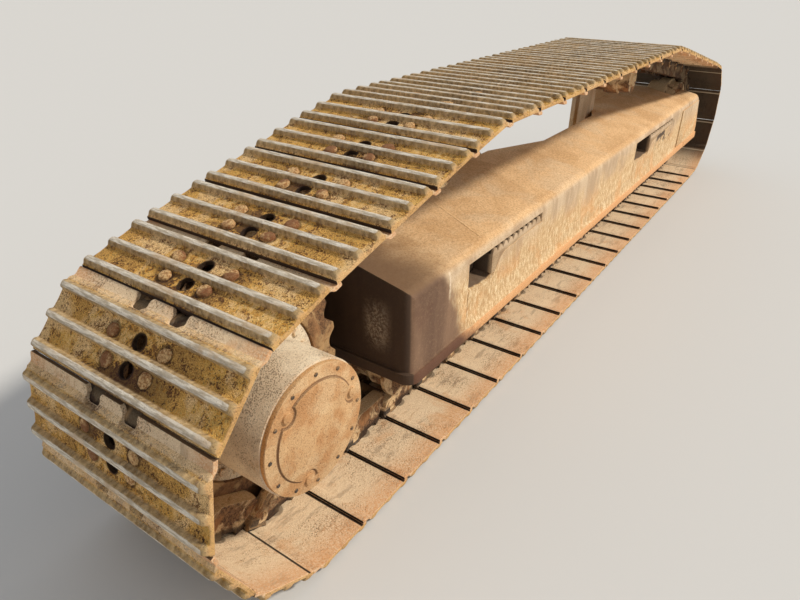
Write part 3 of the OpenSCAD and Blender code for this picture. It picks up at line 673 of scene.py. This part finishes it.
# Painted shade: the rear end face, turned from the lamp, is darkened further.
shaded_rear_face = x.fall(-1.492, -1.485)
smudge = abs(y + 0.1).fall(0.0, 0.06) * abs(z - 0.4).fall(0.01, 0.1)
smudge = smudge * (mottle + cloudy).step(0.34, 0.6, 0.1, 0.8)
stain = look.layers(
    look.mix(runs.rise(0.3, 0.75), (104, 78, 60), (136, 106, 82)),
    (drift.rise(0.5, 0.66, 0.5), (96, 64, 48)),
    (mottle.rise(0.52, 0.64, 0.25), (170, 138, 106)),
    (shaded_rear_face * 0.8, (54, 40, 29)),
    (smudge * shaded_rear_face, (206, 186, 160)))
print("rear end")

# %% Frame paint: the wall
drips = look.stretched((115.0, 115.0, 34.0), 4.0, 0.75)
pale = look.mix(runs.rise(0.4, 0.62), (188, 160, 128), (215, 189, 155))
sand = look.layers(
    look.mix(drips.rise(0.38, 0.62), (198, 158, 110), (234, 206, 160)),
    (mottle.rise(0.5, 0.6, 0.4), (172, 124, 76)),
    (patches.rise(0.48, 0.62, 0.5), (222, 160, 98)),
    (drips.rise(0.55, 0.66, 0.5), (246, 226, 188)))
low = (z + cloudy * 0.35).fall(0.38, 0.5)
dusty = look.layers(look.mix(low, pale, sand), (specks.rise(0.55, 0.62, 0.6), (150, 106, 66)))
forward = (x + (z - 0.43) * 0.6 + cloudy * 0.3).rise(-1.34, -1.24)
print("wall")

# %% [markdown]
# Over this come rubbed edges, one pale drip down the wall, painted shade as a dark slot and holes
# at the front pocket's lower edge, painted shade in the pockets and rust on the ledge at the wall's
# foot.

# %% Frame paint: wear, drip, painted shade at and in the pockets, and ledge
rub = look.edge(0.01, drift) * forward.step(0.0, 1.0, 0.16, 0.3)
drip = (abs(x + 1.2955 + cloudy * 0.02).fall(0.002, 0.0075, 0.75) * y.fall(-0.216, -0.212)
        * z.rise(0.41, 0.47) * mottle.step(0.4, 0.55, 0.25, 1.0))
# Painted shade: a dark slot and dark holes at the front pocket's lower edge, and dark in both pockets.
slot = abs(x - 1.045 + (mottle - 0.5) * 0.08).fall(0.08, 0.095) * abs(z - 0.462).fall(0.022, 0.032, 0.95)
hole_shade = look.noise(look.place, 24.0, 3.0, 0.6).rise(0.56, 0.6, 0.85)
hole_shade = (look.sum("MAXIMUM", hole_shade, slot) * x.rise(0.93, 0.99) * x.fall(1.28, 1.38)
         * y.fall(-0.208, -0.202) * z.rise(0.36, 0.42) * z.fall(0.49, 0.5))
pocket_shade = (y.rise(-0.2115, -0.205) * y.fall(-0.14, -0.135) * z.fall(0.5, 0.51)
           * x.rise(-1.21, -1.2) * x.fall(1.2, 1.21))
ledge = y.fall(-0.2262, -0.2235) * z.fall(0.27, 0.276)
rust = look.mix(specks.rise(0.42, 0.58), (200, 134, 82), (244, 188, 130))
colour = look.layers(
    look.mix(roof, look.mix(forward, stain, dusty), ochre),
    (rub, (224, 196, 158)),
    (drip, (242, 222, 192)),
    (hole_shade, (76, 60, 48)),
    (pocket_shade * 0.92, (96, 76, 60)),
    (ledge * 0.8, look.mix(forward, (98, 62, 44), rust)))
frame_paint = look.finish(colour, roof.step(0.0, 1.0, 0.72, 0.88), grain * 0.6 + patches, 0.002)

# %% [markdown]
# ### Final drive
# Splashed sand covers the drum, with small dark pits where it has flaked off. The cover is the
# same paint, orange with rust along its rim, and painted shade draws a dark groove along the outline
# of its turned panel and three plugs: the lowest of their distances gives that outline.

# %% Drive paint
look, patches, drift, specks, grain, pits = started("drive_paint", 9.0, 240.0, MASKS)
colour = look.layers(
    look.mix(drift.rise(0.4, 0.6), (232, 216, 188), (206, 184, 154)),
    (grain.rise(0.42, 0.58, 0.5), (240, 222, 190)),
    (patches.rise(0.54, 0.66, 0.45), (196, 156, 108)),
    (specks.rise(0.55, 0.62, 0.65), (128, 102, 76)),
    (pits * 0.5, (78, 60, 48)),
    (look.edge(0.006, drift) * 0.7, (216, 150, 84)))
drive_paint = look.finish(colour, specks.step(0.3, 0.7, 0.8, 0.95), specks - pits * 0.6, 0.003)

# %% Rusty cover
COVER_X, COVER_Z = -1.9179, 0.3813
PANEL_R = 0.126
PLUG_AT, PLUG_R, PLUG_ANGLES = 0.128, 0.026, (13, 134, 252)
look, patches, drift, specks, grain, pits = started("cover_rust", 12.0, 230.0, MASKS)
x, y, z = look.parts(look.place)
outline = PANEL_R - look.length(x - COVER_X, z - COVER_Z)
for angle in PLUG_ANGLES:
    plug_x, plug_z = on_circle((COVER_X, COVER_Z), PLUG_AT, angle)
    outline = look.sum("MINIMUM", outline, look.length(x - plug_x, z - plug_z) - PLUG_R)
rim = y.rise(-0.2405, -0.2385)
# Painted shade: a dark line stands for the shade in the groove round the panel and plugs.
groove_shade = abs(outline + 0.0008).fall(0.0012, 0.0034, 0.85)
colour = look.layers(
    look.mix(drift.rise(0.42, 0.58), (216, 176, 128), (202, 152, 102)),
    (rim * 0.6, (220, 158, 88)),
    (patches.rise(0.46, 0.64, 0.5), (230, 202, 158)),
    (grain.rise(0.5, 0.6, 0.55), (168, 112, 64)),
    (specks.rise(0.56, 0.64, 0.7), (118, 76, 48)),
    (groove_shade, (104, 66, 42)),
    (look.edge(0.006, drift) * 0.5, (236, 206, 154)))
cover_rust = look.finish(colour, specks.step(0.3, 0.7, 0.8, 0.95), specks - pits * 0.5, 0.003)

# %% [markdown]
# ### Steps and oily steel
# The steps are dusty plates with pale teeth, with painted shade where they go deep into their
# pockets. Motor, yoke and shaft are black with oil, and dust settles only on top of them.

# %% The steps in their pockets
look, patches, drift, specks, grain = started("step_paint", 9.0, 200.0, STEEL_MASKS)
y, z = look.parts(look.place)[1:]
teeth = z.rise(0.462, 0.478) * patches.step(0.42, 0.56, 0.35, 0.9)
# Painted shade: the steps darken where they go deep into their pockets.
deep_shade = abs(y).fall(0.2, 0.216)
colour = look.layers(
    look.mix(drift.rise(0.4, 0.6), (176, 146, 112), (206, 176, 138)),
    (grain.rise(0.46, 0.58, 0.5), (112, 86, 64)),
    (teeth, (206, 180, 148)),
    (deep_shade * 0.9, (56, 44, 36)))
step_paint = look.finish(colour, grain.step(0.3, 0.7, 0.8, 0.95), specks + grain, 0.002)

# %% Dark oily steel
look, patches, drift, specks = started("dark_steel", 10.0, 200.0, MASKS[:3])
colour = look.mix(specks.rise(0.4, 0.6), (52, 46, 42), (88, 76, 64))
dusty = look.upward() * 0.2 + patches
colour = look.mix(dusty.rise(0.5, 0.7, 0.8), colour, (160, 128, 90))
dark_steel = look.finish(colour, drift.step(0.4, 0.6, 0.45, 0.85), specks, 0.002)

# %% [markdown]
# ## The chain's path
# Fifty-one links hang in one loop: along the ground, up round the idler, back over two carrier
# rollers and down round the sprocket. The pin line is made of straight lines and arcs, and the
# wheelbase is the one at which a whole number of links fits. On the sprocket a pin lies in every
# second gap of its teeth. The numbers are the CAD model's own.

# %% Driving sizes, in millimetres
PITCH = 190.0
SHOES = 51
PIN_HEIGHT = 59.0
IDLER_PIN_R = 311.0
TEETH = 21
SPROCKET_PIN_R = PITCH / (2 * math.sin(math.radians(360 / TEETH)))
BEND_R = 320.0
UPPER_PIN_Z = 897.0
CARRIER_REAR = 772.0
CARRIER_FRONT = 1197.0
FIRST_PIN = 0.64


def tangent(first, first_r, second, second_r):
    rise = math.atan2(second[1] - first[1], second[0] - first[0])
    return math.degrees(rise + math.asin((second_r - first_r) / math.dist(first, second)))


def link_turn(radius):
    """How far one link turns as its two pins run round a wheel, in degrees."""
    return 2 * math.degrees(math.asin(PITCH / 2 / radius))


def between(first, last, share):
    return tuple(a + (b - a) * share for a, b in zip(first, last))


def pin_line(wheelbase):
    """The loop as (length in pitches, where) pieces, from the sprocket's lowest point."""
    sprocket, idler = (0.0, PIN_HEIGHT + SPROCKET_PIN_R), (wheelbase, PIN_HEIGHT + IDLER_PIN_R)
    rear, front = (CARRIER_REAR, UPPER_PIN_Z - BEND_R), (wheelbase - CARRIER_FRONT, UPPER_PIN_Z - BEND_R)
    rise = tangent(sprocket, SPROCKET_PIN_R, rear, BEND_R)
    fall = tangent(front, BEND_R, idler, IDLER_PIN_R)
    bend = math.degrees(PITCH / BEND_R)
    arcs = [(idler, IDLER_PIN_R, -90.0, 90.0 + fall, link_turn(IDLER_PIN_R)),
            (front, BEND_R, 90.0 + fall, 90.0, bend),
            (rear, BEND_R, 90.0, 90.0 + rise, bend),
            (sprocket, SPROCKET_PIN_R, 90.0 + rise, 270.0, link_turn(SPROCKET_PIN_R))]
    path, start = [], (0.0, PIN_HEIGHT)
    for middle, radius, begin, end, step in arcs:
        meet = on_circle(middle, radius, begin)
        path.append((math.dist(start, meet) / PITCH, lambda t, a=start, b=meet: between(a, b, t)))
        path.append(((end - begin) / step,
                     lambda t, m=middle, r=radius, a=begin, b=end: on_circle(m, r, a + (b - a) * t)))
        start = on_circle(middle, radius, end)
    return path


def point_on(path, pitches):
    for length, where in path:
        if pitches <= length:
            return where(pitches / length)
        pitches -= length
    return path[-1][1](1.0)


ROUNDS = 12
wheelbase = 20 * PITCH
for _ in range(ROUNDS):
    wheelbase += (SHOES - sum(length for length, where in pin_line(wheelbase))) * PITCH / 2
route = pin_line(wheelbase)
SPROCKET_X, IDLER_X = (sum(corner.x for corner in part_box(node)) / 2 for node in ("sprocket", "idler"))
SPROCKET_Z = (PIN_HEIGHT + SPROCKET_PIN_R) * MM
shift = IDLER_X / MM - wheelbase
pins = [(x + shift, z) for x, z in (point_on(route, (k + FIRST_PIN) % SHOES) for k in range(SHOES))]
print("wheelbase", round(wheelbase, 2), "sprocket at", round(SPROCKET_X, 4), "idler at", round(IDLER_X, 4))


def link_place(k):
    """Where link k is: its X runs along the chain and its Z points into the loop."""
    (x, z), (next_x, next_z) = pins[k % SHOES], pins[(k + 1) % SHOES]
    length = math.hypot(next_x - x, next_z - z)
    c, s = (next_x - x) / length, (next_z - z) / length
    return Matrix(((c, 0, -s, x * MM), (0, 1, 0, 0), (s, 0, c, z * MM), (0, 0, 0, 1)))


places = [link_place(k) for k in range(SHOES)]

# %% [markdown]
# ## One shoe
# A triple-grouser shoe is rolled steel: one section, with three ribs that grip the ground and a
# lip that tucks under the shoe before it. So we draw the section once, a corner at a time, and
# extrude it across the machine in steps. The steps let us lower the grousers towards their ends.
# Then a Boolean cuts two mud holes and the two notches in the lip for the links.

# %% Draw the section and pull it across
PLATE_OUT = 42.0
PLATE_IN = 32.0
SHOE_HALF = 299.2
CREST_AT = (15, 85, 155)
GROUSER = [(-17, 0.1), (-13.6, 1.5), (-11.6, 4.6), (-10, 9.6), (-8.4, 13.6), (-5.4, 15.9), (0, 16.4),
           (5.4, 15.9), (8.4, 13.6), (10, 9.6), (11.6, 4.6), (13.6, 1.5), (17, 0.1)]

section = [(-35, 24.6), (-34.2, 28.6), (-31.5, 30.2), (-14.5, 31), (-10, 33.4)]
section += [(-7, 37.2), (-4.5, 40.4)]
for middle in CREST_AT:
    section += [(middle + across, PLATE_OUT + up) for across, up in GROUSER]
    if middle != CREST_AT[-1]:
        section.append((middle + 35, PLATE_OUT - 0.6))
section.pop()
section += [(170.8, 41.6), (171.8, 39.8), (171.8, 34), (170.4, PLATE_IN)]
section += [(2, PLATE_IN), (-4, 28.4), (-9, 23.4), (-15, 20.6), (-32, 19.6), (-34.6, 20.8)]
shoe = drawn("shoe", [Vector((s, -SHOE_HALF, -t)) * MM for s, t in section])
STATIONS = [-SHOE_HALF, -297, -293, -286, -262, -225, -185, -145, -105, -65, -22]
STATIONS += [-y for y in reversed(STATIONS)]
for start, end in zip(STATIONS, STATIONS[1:]):
    pull((0, (end - start) * MM, 0))
print("shoe section", len(section), "corners,", len(STATIONS), "stations")

# %% Round the grousers' ends
for station, height in ((SHOE_HALF, 0.06), (297.0, 0.5), (293.0, 0.84), (286.0, 0.97)):
    pick(shoe, lambda co: abs(abs(co.y) - station * MM) < 1e-5 and co.z < -(PLATE_OUT + 0.05) * MM)
    bpy.ops.transform.resize(value=(1, 1, height), center_override=(0, 0, -PLATE_OUT * MM))
soften(shoe, lambda co: abs(co.y) > (SHOE_HALF - 0.01) * MM, 1.2)
closed(shoe)
print("shoe", triangles(shoe), "triangles before its holes")

# %% Cut the mud holes and the notches for the links
HOLE_R = 18.0
tools = [rod("hole", HOLE_R, 40.0, (s, y, -37.0), 20) for s, y in HOLES]
NOTCH = [(0, 43), (0, 74), (-3, 80), (-9, 83), (-23, 83), (-29, 84),
         (-34, 87), (-37, 92), (-60, 92), (-60, 20), (-37, 20), (-34, 29),
         (-29, 34), (-23, 37), (-9, 37), (-3, 39)]
for side in (-1, 1):
    notch = drawn("notch", [Vector((s, side * y, -60.0)) * MM for s, y in NOTCH])
    pull((0, 0, 60.0 * MM))
    tools.append(closed(notch))
cutter = joined("cutter", tools)
applied(shoe, "BOOLEAN", operation="DIFFERENCE", solver="EXACT", object=cutter)
bpy.data.objects.remove(cutter)
closed(shoe)
print("shoe", triangles(shoe), "triangles")

# %% [markdown]
# The shoe now learns its own place, so that its material can tell a crest from a valley. Then it
# is copied to every link, and a gentle displacement makes no two of them quite the same.

# %% Place the shoes
def mark_places(piece):
    """Each point keeps its place along, across and out from the chain."""
    spots = piece.data.attributes.new("spot", "FLOAT_VECTOR", "POINT")
    for corner, mark in zip(piece.data.vertices, spots.data):
        mark.vector = (corner.co.x, corner.co.y, -corner.co.z)


mark_places(shoe)
shoes = repeated("track_shoes", shoe, places)
unevenness = bpy.data.textures.new("unevenness", "CLOUDS")
unevenness.noise_scale = 0.05
applied(shoes, "DISPLACE", texture=unevenness, texture_coords="LOCAL", strength=0.0012, mid_level=0.5)
placed(shoes, shoe_steel, "track_steel", "track")

# %% [markdown]
# ## Bolt heads
# Four bolts hold each shoe to its link. Their heads stand in the valleys, worn and caked with
# dirt to low lumps. There are two hundred of them, so each has only a few dozen faces, and each
# is turned, sunk and scaled a little differently.

# %% Bolt heads
SUNK_LINKS = (46, 47)
head = rod("head", 18.0, 15.0, (0.0, 0.0, 0.0), 8)
soften(head, lambda co: co.z < -0.007, 5.5, 2)
closed(head, 60)
bolt_places = []
for k, link in enumerate(places):
    for s, y in BOLTS:
        wide, long, high = (random.uniform(*limits) for limits in ((0.85, 1.12), (0.85, 1.12), (0.8, 1.1)))
        size = Matrix.Diagonal((wide, long, high, 1.0))
        turn = Matrix.Rotation(random.uniform(0, math.pi), 4, "Z")
        sunk = random.uniform(0.0, 3.5) + (5.0 if k in SUNK_LINKS else 0.0)
        seat = Matrix.Translation(Vector((s, y, sunk - PLATE_OUT - 3.5)) * MM)
        bolt_places.append(link @ seat @ turn @ size)
bolts = repeated("shoe_bolts", head, bolt_places)
placed(bolts, bolt_dirt, "track_steel")

# %% [markdown]
# ## Links
# A link is a forged side plate. Its rear eye wraps the next link's front eye from outside, its
# rail carries the rollers, and its foot holds the shoe. We draw the side view, pull it to the
# strand's full width, and thin each end to half of it, so that neighbours lie side by side.

# %% One link of the left strand
STRAND_IN = 46.0
STRAND_OUT = 92.0
EYE_R = 28.0
FOOT = -PLATE_IN + 0.2
outline = [on_circle((0.0, 0.0), EYE_R, a) for a in (90, 120, 150, 180, 210, 235, 262, 290)]
outline += [(17, -23.5), (21, FOOT), (60, FOOT), (66, -18), (104, -18), (110, FOOT)]
outline += [(167, FOOT), (169.4, -24)]
outline += [on_circle((PITCH, 0), EYE_R, a) for a in (-142, -115, -90, -60, -30, 0, 30, 60, 85)]
outline += [(168, 50), (158, 57.5), (148, 59.8), (42, 59.8), (32, 57.5), (20, 48)]
link = drawn("link", [Vector((s, STRAND_IN, z)) * MM for s, z in outline])
for _ in range(2):
    pull((0, (STRAND_OUT - STRAND_IN) * 0.5 * MM, 0))
closed(link)
THINNED = 21 * MM
enter_edit(link)
pick(link, lambda co: co.x < 0.034 and co.y < (STRAND_IN + 1) * MM)
bpy.ops.transform.translate(value=(0, THINNED, 0))
pick(link, lambda co: co.x > 0.156 and co.y > (STRAND_OUT - 1) * MM)
bpy.ops.transform.translate(value=(0, -THINNED, 0))
closed(link)
applied(link, "BEVEL", width=3 * MM, segments=1, limit_method="ANGLE", angle_limit=math.radians(40))
closed(link)
print("link", triangles(link), "triangles")

# %% Both strands
pad = block("pad", (68.0, 12.0, 12.6), (136.0, 41.0, -25.5))
soften(pad, lambda co: co.y < 0.036, 3.0)
link = joined("link", [closed(link), closed(pad)])
mirror = Matrix.Scale(-1, 4, (0, 1, 0))
twin = copy_at(link, mirror)
closed(twin)
pair = joined("pair", [link, twin])
mark_places(pair)
links = repeated("track_links", pair, places)
placed(links, link_steel, "track_steel")

# %% [markdown]
# Dirt is packed between the foot of each link and the next one's eye: a beveled clod with a crust
# along the notch of the shoe. These dark blocks also stand as painted shade, darkening the notch and
# keeping the lamp from shining through it. Bushings and the dished ends of the pins close the joints.

# %% Packed dirt and shade blocks, bushings and pin ends
# The clod and crust are dark dirt and also stand as painted shade in the notch.
shade_clod = block("shade_clod", (34.0, 32.0, 25.0), (165.0, 82.0, -9.5))
soften(shade_clod, lambda co: True, 4.0)
shade_crust = rod("shade_crust", 9.0, 62.0, (179.0, 90.0, -23.0), 6, "X")
shade_clod = joined("shade_clod", [closed(shade_clod), closed(shade_crust)])
shade_clods_pair = joined("clods", [shade_clod, closed(copy_at(shade_clod, mirror))])
placed(repeated("packed_dirt_and_shade", shade_clods_pair, places), dark_steel, "track_steel")

bush = rod("bush", 29.0, 2 * STRAND_IN + 2, (0, 0, 0), 20, "Y")
soften(bush, lambda co: abs(co.y) > 0.046, 2.5)
placed(repeated("track_bushings", closed(bush), places), dark_steel, "track_steel")
tips = []
for side in (-1, 1):
    tip = rod("tip", 20.0, 5.0, (0, side * 93.0, 0), 16, "Y")
    enter_edit(tip)
    pick(tip, lambda co: abs(co.y) > 0.095, "FACE")
    bpy.ops.mesh.inset(thickness=5 * MM)
    bpy.ops.mesh.inset(thickness=2 * MM)
    bpy.ops.transform.translate(value=(0, -side * 3 * MM, 0))
    tips.append(closed(tip))
placed(repeated("track_pins", joined("tips", tips), places), rusty_steel, "track_steel")

# %% [markdown]
# ## Rounded castings and plates
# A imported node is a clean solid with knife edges, and nothing real has those. For each node whose
# shape is right we take a copy of its mesh, merge its loose triangles, dissolve the flat ones and
# round the edges with a Bevel. The copy stands for the node, which keeps its place.


# %% Rounded copies of nodes
def rounded_copy(name, node, width, finish, slot, body="undercarriage"):
    leave_edit()
    piece = bpy.data.objects.new(name, nodes[node].data.copy())
    bpy.context.scene.collection.objects.link(piece)
    enter_edit(piece)
    pick_all()
    bpy.ops.mesh.remove_doubles(threshold=2e-5)
    bpy.ops.mesh.dissolve_limited(angle_limit=math.radians(0.6))
    choose(piece)
    if piece.data.has_custom_normals:
        bpy.ops.mesh.customdata_custom_splitnormals_clear()
    applied(piece, "BEVEL", width=width * MM, segments=2, limit_method="ANGLE",
            angle_limit=math.radians(32.0), use_clamp_overlap=True)
    choose(piece)
    bpy.ops.object.shade_smooth_by_angle(angle=math.radians(30))
    return placed(piece, finish, slot, node, body=body)


COPIES = (("frame_box", "side_frame", 4.0, frame_paint, "frame_paint"),
          ("fork_outer", "front_fork_outer", 3.0, frame_paint, "frame_paint"),
          ("fork_inner", "front_fork_inner", 3.0, frame_paint, "frame_paint"),
          ("drive_plate", "drive_bracket", 3.0, frame_paint, "frame_paint"),
          ("leg_box_rear", "leg_root_rear", 3.0, frame_paint, "frame_paint"),
          ("leg_box_front", "leg_root_front", 3.0, frame_paint, "frame_paint"),
          ("toothed_ring", "sprocket", 3.0, sprocket_steel, "rusty_steel"),
          ("idler_wheel_casting", "idler", 4.0, rusty_steel, "rusty_steel", "idler_wheel"),
          ("step_plate_rear", "step_rear", 2.0, step_paint, "frame_paint"),
          ("step_plate_front", "step_front", 2.0, step_paint, "frame_paint"),
          ("drive_drum", "final_drive_drum", 5.0, drive_paint, "drive_paint"),
          ("drive_cover", "final_drive_cover", 4.0, cover_rust, "drive_paint"))
for copy in COPIES:
    rounded_copy(*copy)

# %% [markdown]
# ## Fasteners of the final drive
# Twenty-four bolts hold the toothed ring to the drum's flange, and twelve small ones hold the
# cover. A bolt head is drawn once, and its copies are turned by chance, as spanners leave them.


# %% Bolts on circles round the sprocket's axis
def bolt_circle(name, count, first, radius, head_r, head_h, face, finish, slot):
    """Six-sided heads that stand out from a face across the machine, in millimetres."""
    bolt = rod("bolt", head_r, head_h + 2.0, (0.0, -head_h / 2 + 1.0, 0.0), 6, "Y")
    soften(bolt, lambda co: co.y < (0.5 - head_h) * MM, 0.18 * head_r, 2)
    closed(bolt, 40)
    spread = []
    for n in range(count):
        x, z = on_circle((0.0, 0.0), radius, first + n * 360.0 / count)
        turn = Matrix.Rotation(random.uniform(0, math.pi), 4, "Y")
        spread.append(Matrix.Translation((SPROCKET_X + x * MM, -face * MM, SPROCKET_Z + z * MM)) @ turn)
    return placed(repeated(name, bolt, spread), finish, slot)


RING_FACE = 40.0
RIM_FACE = 243.0
bolt_circle("ring_bolts", 24, 4.0, 190.0, 11.0, 7.0, RING_FACE, drive_paint, "rusty_steel")
bolt_circle("cover_bolts", 12, 26.5, 147.0, 5.5, 2.5, RIM_FACE, dark_steel, "drive_paint")

# %% [markdown]
# ## Mud and weld
# Mud fills the two pockets behind the steps up to half the steps' height, and lies in a slope on
# the ledge at the foot of the wall. It is a sheet whose rows follow the wall from the ledge up
# and then turn into the pocket, with a rough surface and a ragged upper edge.

# %% Mud along the wall
from mathutils import noise
WALL = 219.0
LEDGE_Y, LEDGE_Z = 230.2, 272.4
POCKETS = (((740, 404), (800, 396), (885, 386), (920, 408), (950, 440), (985, 456), (1100, 461), (1292, 463)),
           ((2480, 404), (2620, 392), (2735, 392), (2790, 446), (2950, 458), (3200, 461)))
MUD_START, MUD_END, SPACING = 640, 3405, 11
columns = list(range(MUD_START, MUD_END + 1, SPACING))
for pocket in POCKETS:
    columns += [edge[0] + side for edge in (pocket[0], pocket[-1]) for side in (-1.5, 1.5)]
columns.sort()


def mud_top(x):
    """How high the mud stands at a place along the wall, and whether it is in a pocket."""
    for pocket in POCKETS:
        if pocket[0][0] < x < pocket[-1][0]:
            for (x0, z0), (x1, z1) in zip(pocket, pocket[1:]):
                if x <= x1:
                    return z0 + (z1 - z0) * (x - x0) / (x1 - x0), True
    return 306.0 + 30.0 * noise.noise((x / 190.0, 0.0, 4.0)) + 24.0 * min(1.0, (x - MUD_START) / 260.0), False


# %% Shape the sheet of mud
ROWS, WALL_ROWS, POCKET_DEPTH = 14, 9, 66.0
leave_edit()
bpy.ops.mesh.primitive_grid_add(x_subdivisions=len(columns) - 1, y_subdivisions=ROWS - 1, size=1.0)
mud = settled("wall_mud")
for corner in mud.data.vertices:
    column = columns[round((corner.co.x + 0.5) * (len(columns) - 1))]
    row = round((corner.co.y + 0.5) * (ROWS - 1))
    top, open_pocket = mud_top(column)
    top += 6.0 * noise.noise((column / 37.0, 1.0, 0.0))
    lumps = 1.6 * noise.noise((column / 21.0, row / 1.7, 3.0))
    begun, left = column - MUD_START, MUD_END - column
    grown = min(1.0, max(0.05, begun / 120.0)) * min(1.0, max(0.05, left / 60.0))
    flush = 3.5 * (1.0 - min(1.0, begun / 90.0, left / 60.0))
    if row < WALL_ROWS:
        share = row / (WALL_ROWS - 1)
        slope = (LEDGE_Y - WALL - 1.0) * (1.0 - share) ** 4 * grown
        y = WALL + 1.0 - flush + slope + max(0.0, lumps * min(1.0, 3.0 * share) * grown)
        z = LEDGE_Z + (top - LEDGE_Z) * share ** 1.3
    elif open_pocket:
        share = (row - WALL_ROWS + 1) / (ROWS - WALL_ROWS)
        y = WALL + 1.0 - POCKET_DEPTH * share
        z = top + 5.0 * math.sin(share * math.pi / 2) + 9.0 * share + 2.0 * lumps
    else:
        tucked = row - WALL_ROWS
        y, z = WALL - 3.0 - tucked, top + 2.0 + tucked
    corner.co = (SPROCKET_X + column * MM, -y * MM, z * MM)
closed(mud, 60)
applied(mud, "SOLIDIFY", thickness=2.0 * MM, offset=-1.0)
closed(mud, 60)
placed(mud, frame_paint, "frame_paint")

# %% [markdown]
# A weld runs over the roof where its plates meet. It is a curve of short steps whose radius varies
# from knot to knot, like the ripples of the passes, and then becomes a mesh.

# %% Weld bead on the roof
KNOTS, BEAD_R = 24, 6.0
WELD = ((866, -186, 534.8), (945, 56, 585.1))
line = bpy.data.curves.new("roof_weld", "CURVE")
line.dimensions = "3D"
line.bevel_depth = BEAD_R * MM
line.bevel_resolution = 1
line.use_fill_caps = True
spline = line.splines.new("POLY")
spline.points.add(KNOTS)
for n, knot in enumerate(spline.points):
    x, y, z = between(*WELD, n / KNOTS)
    knot.co = (SPROCKET_X + x * MM, y * MM, z * MM, 1.0)
    knot.radius = random.uniform(0.8, 1.15)
weld = bpy.data.objects.new("roof_weld", line)
bpy.context.scene.collection.objects.link(weld)
choose(weld)
bpy.ops.object.convert(target="MESH")
placed(closed(bpy.context.object, 60), frame_paint, "frame_paint")

# %% [markdown]
# The other nodes keep their own mesh and only get a finish: brown steel for what rolls and for the
# spring, paint for guard, guides and brackets, and oily steel for the rest.

# %% Finishes for the nodes that stay
replaced = {"track", *(copy[1] for copy in COPIES)}
for name, node in nodes.items():
    if name in replaced:
        continue
    if "roller" in name or name == "recoil_spring":
        finish = rusty_steel
    elif name == "motor_guard" or "guide" in name or "bracket" in name:
        finish = frame_paint
    else:
        finish = dark_steel
    node.data.materials.clear()
    node.data.materials.append(finish)
print("finished nodes", len(nodes) - len(replaced))
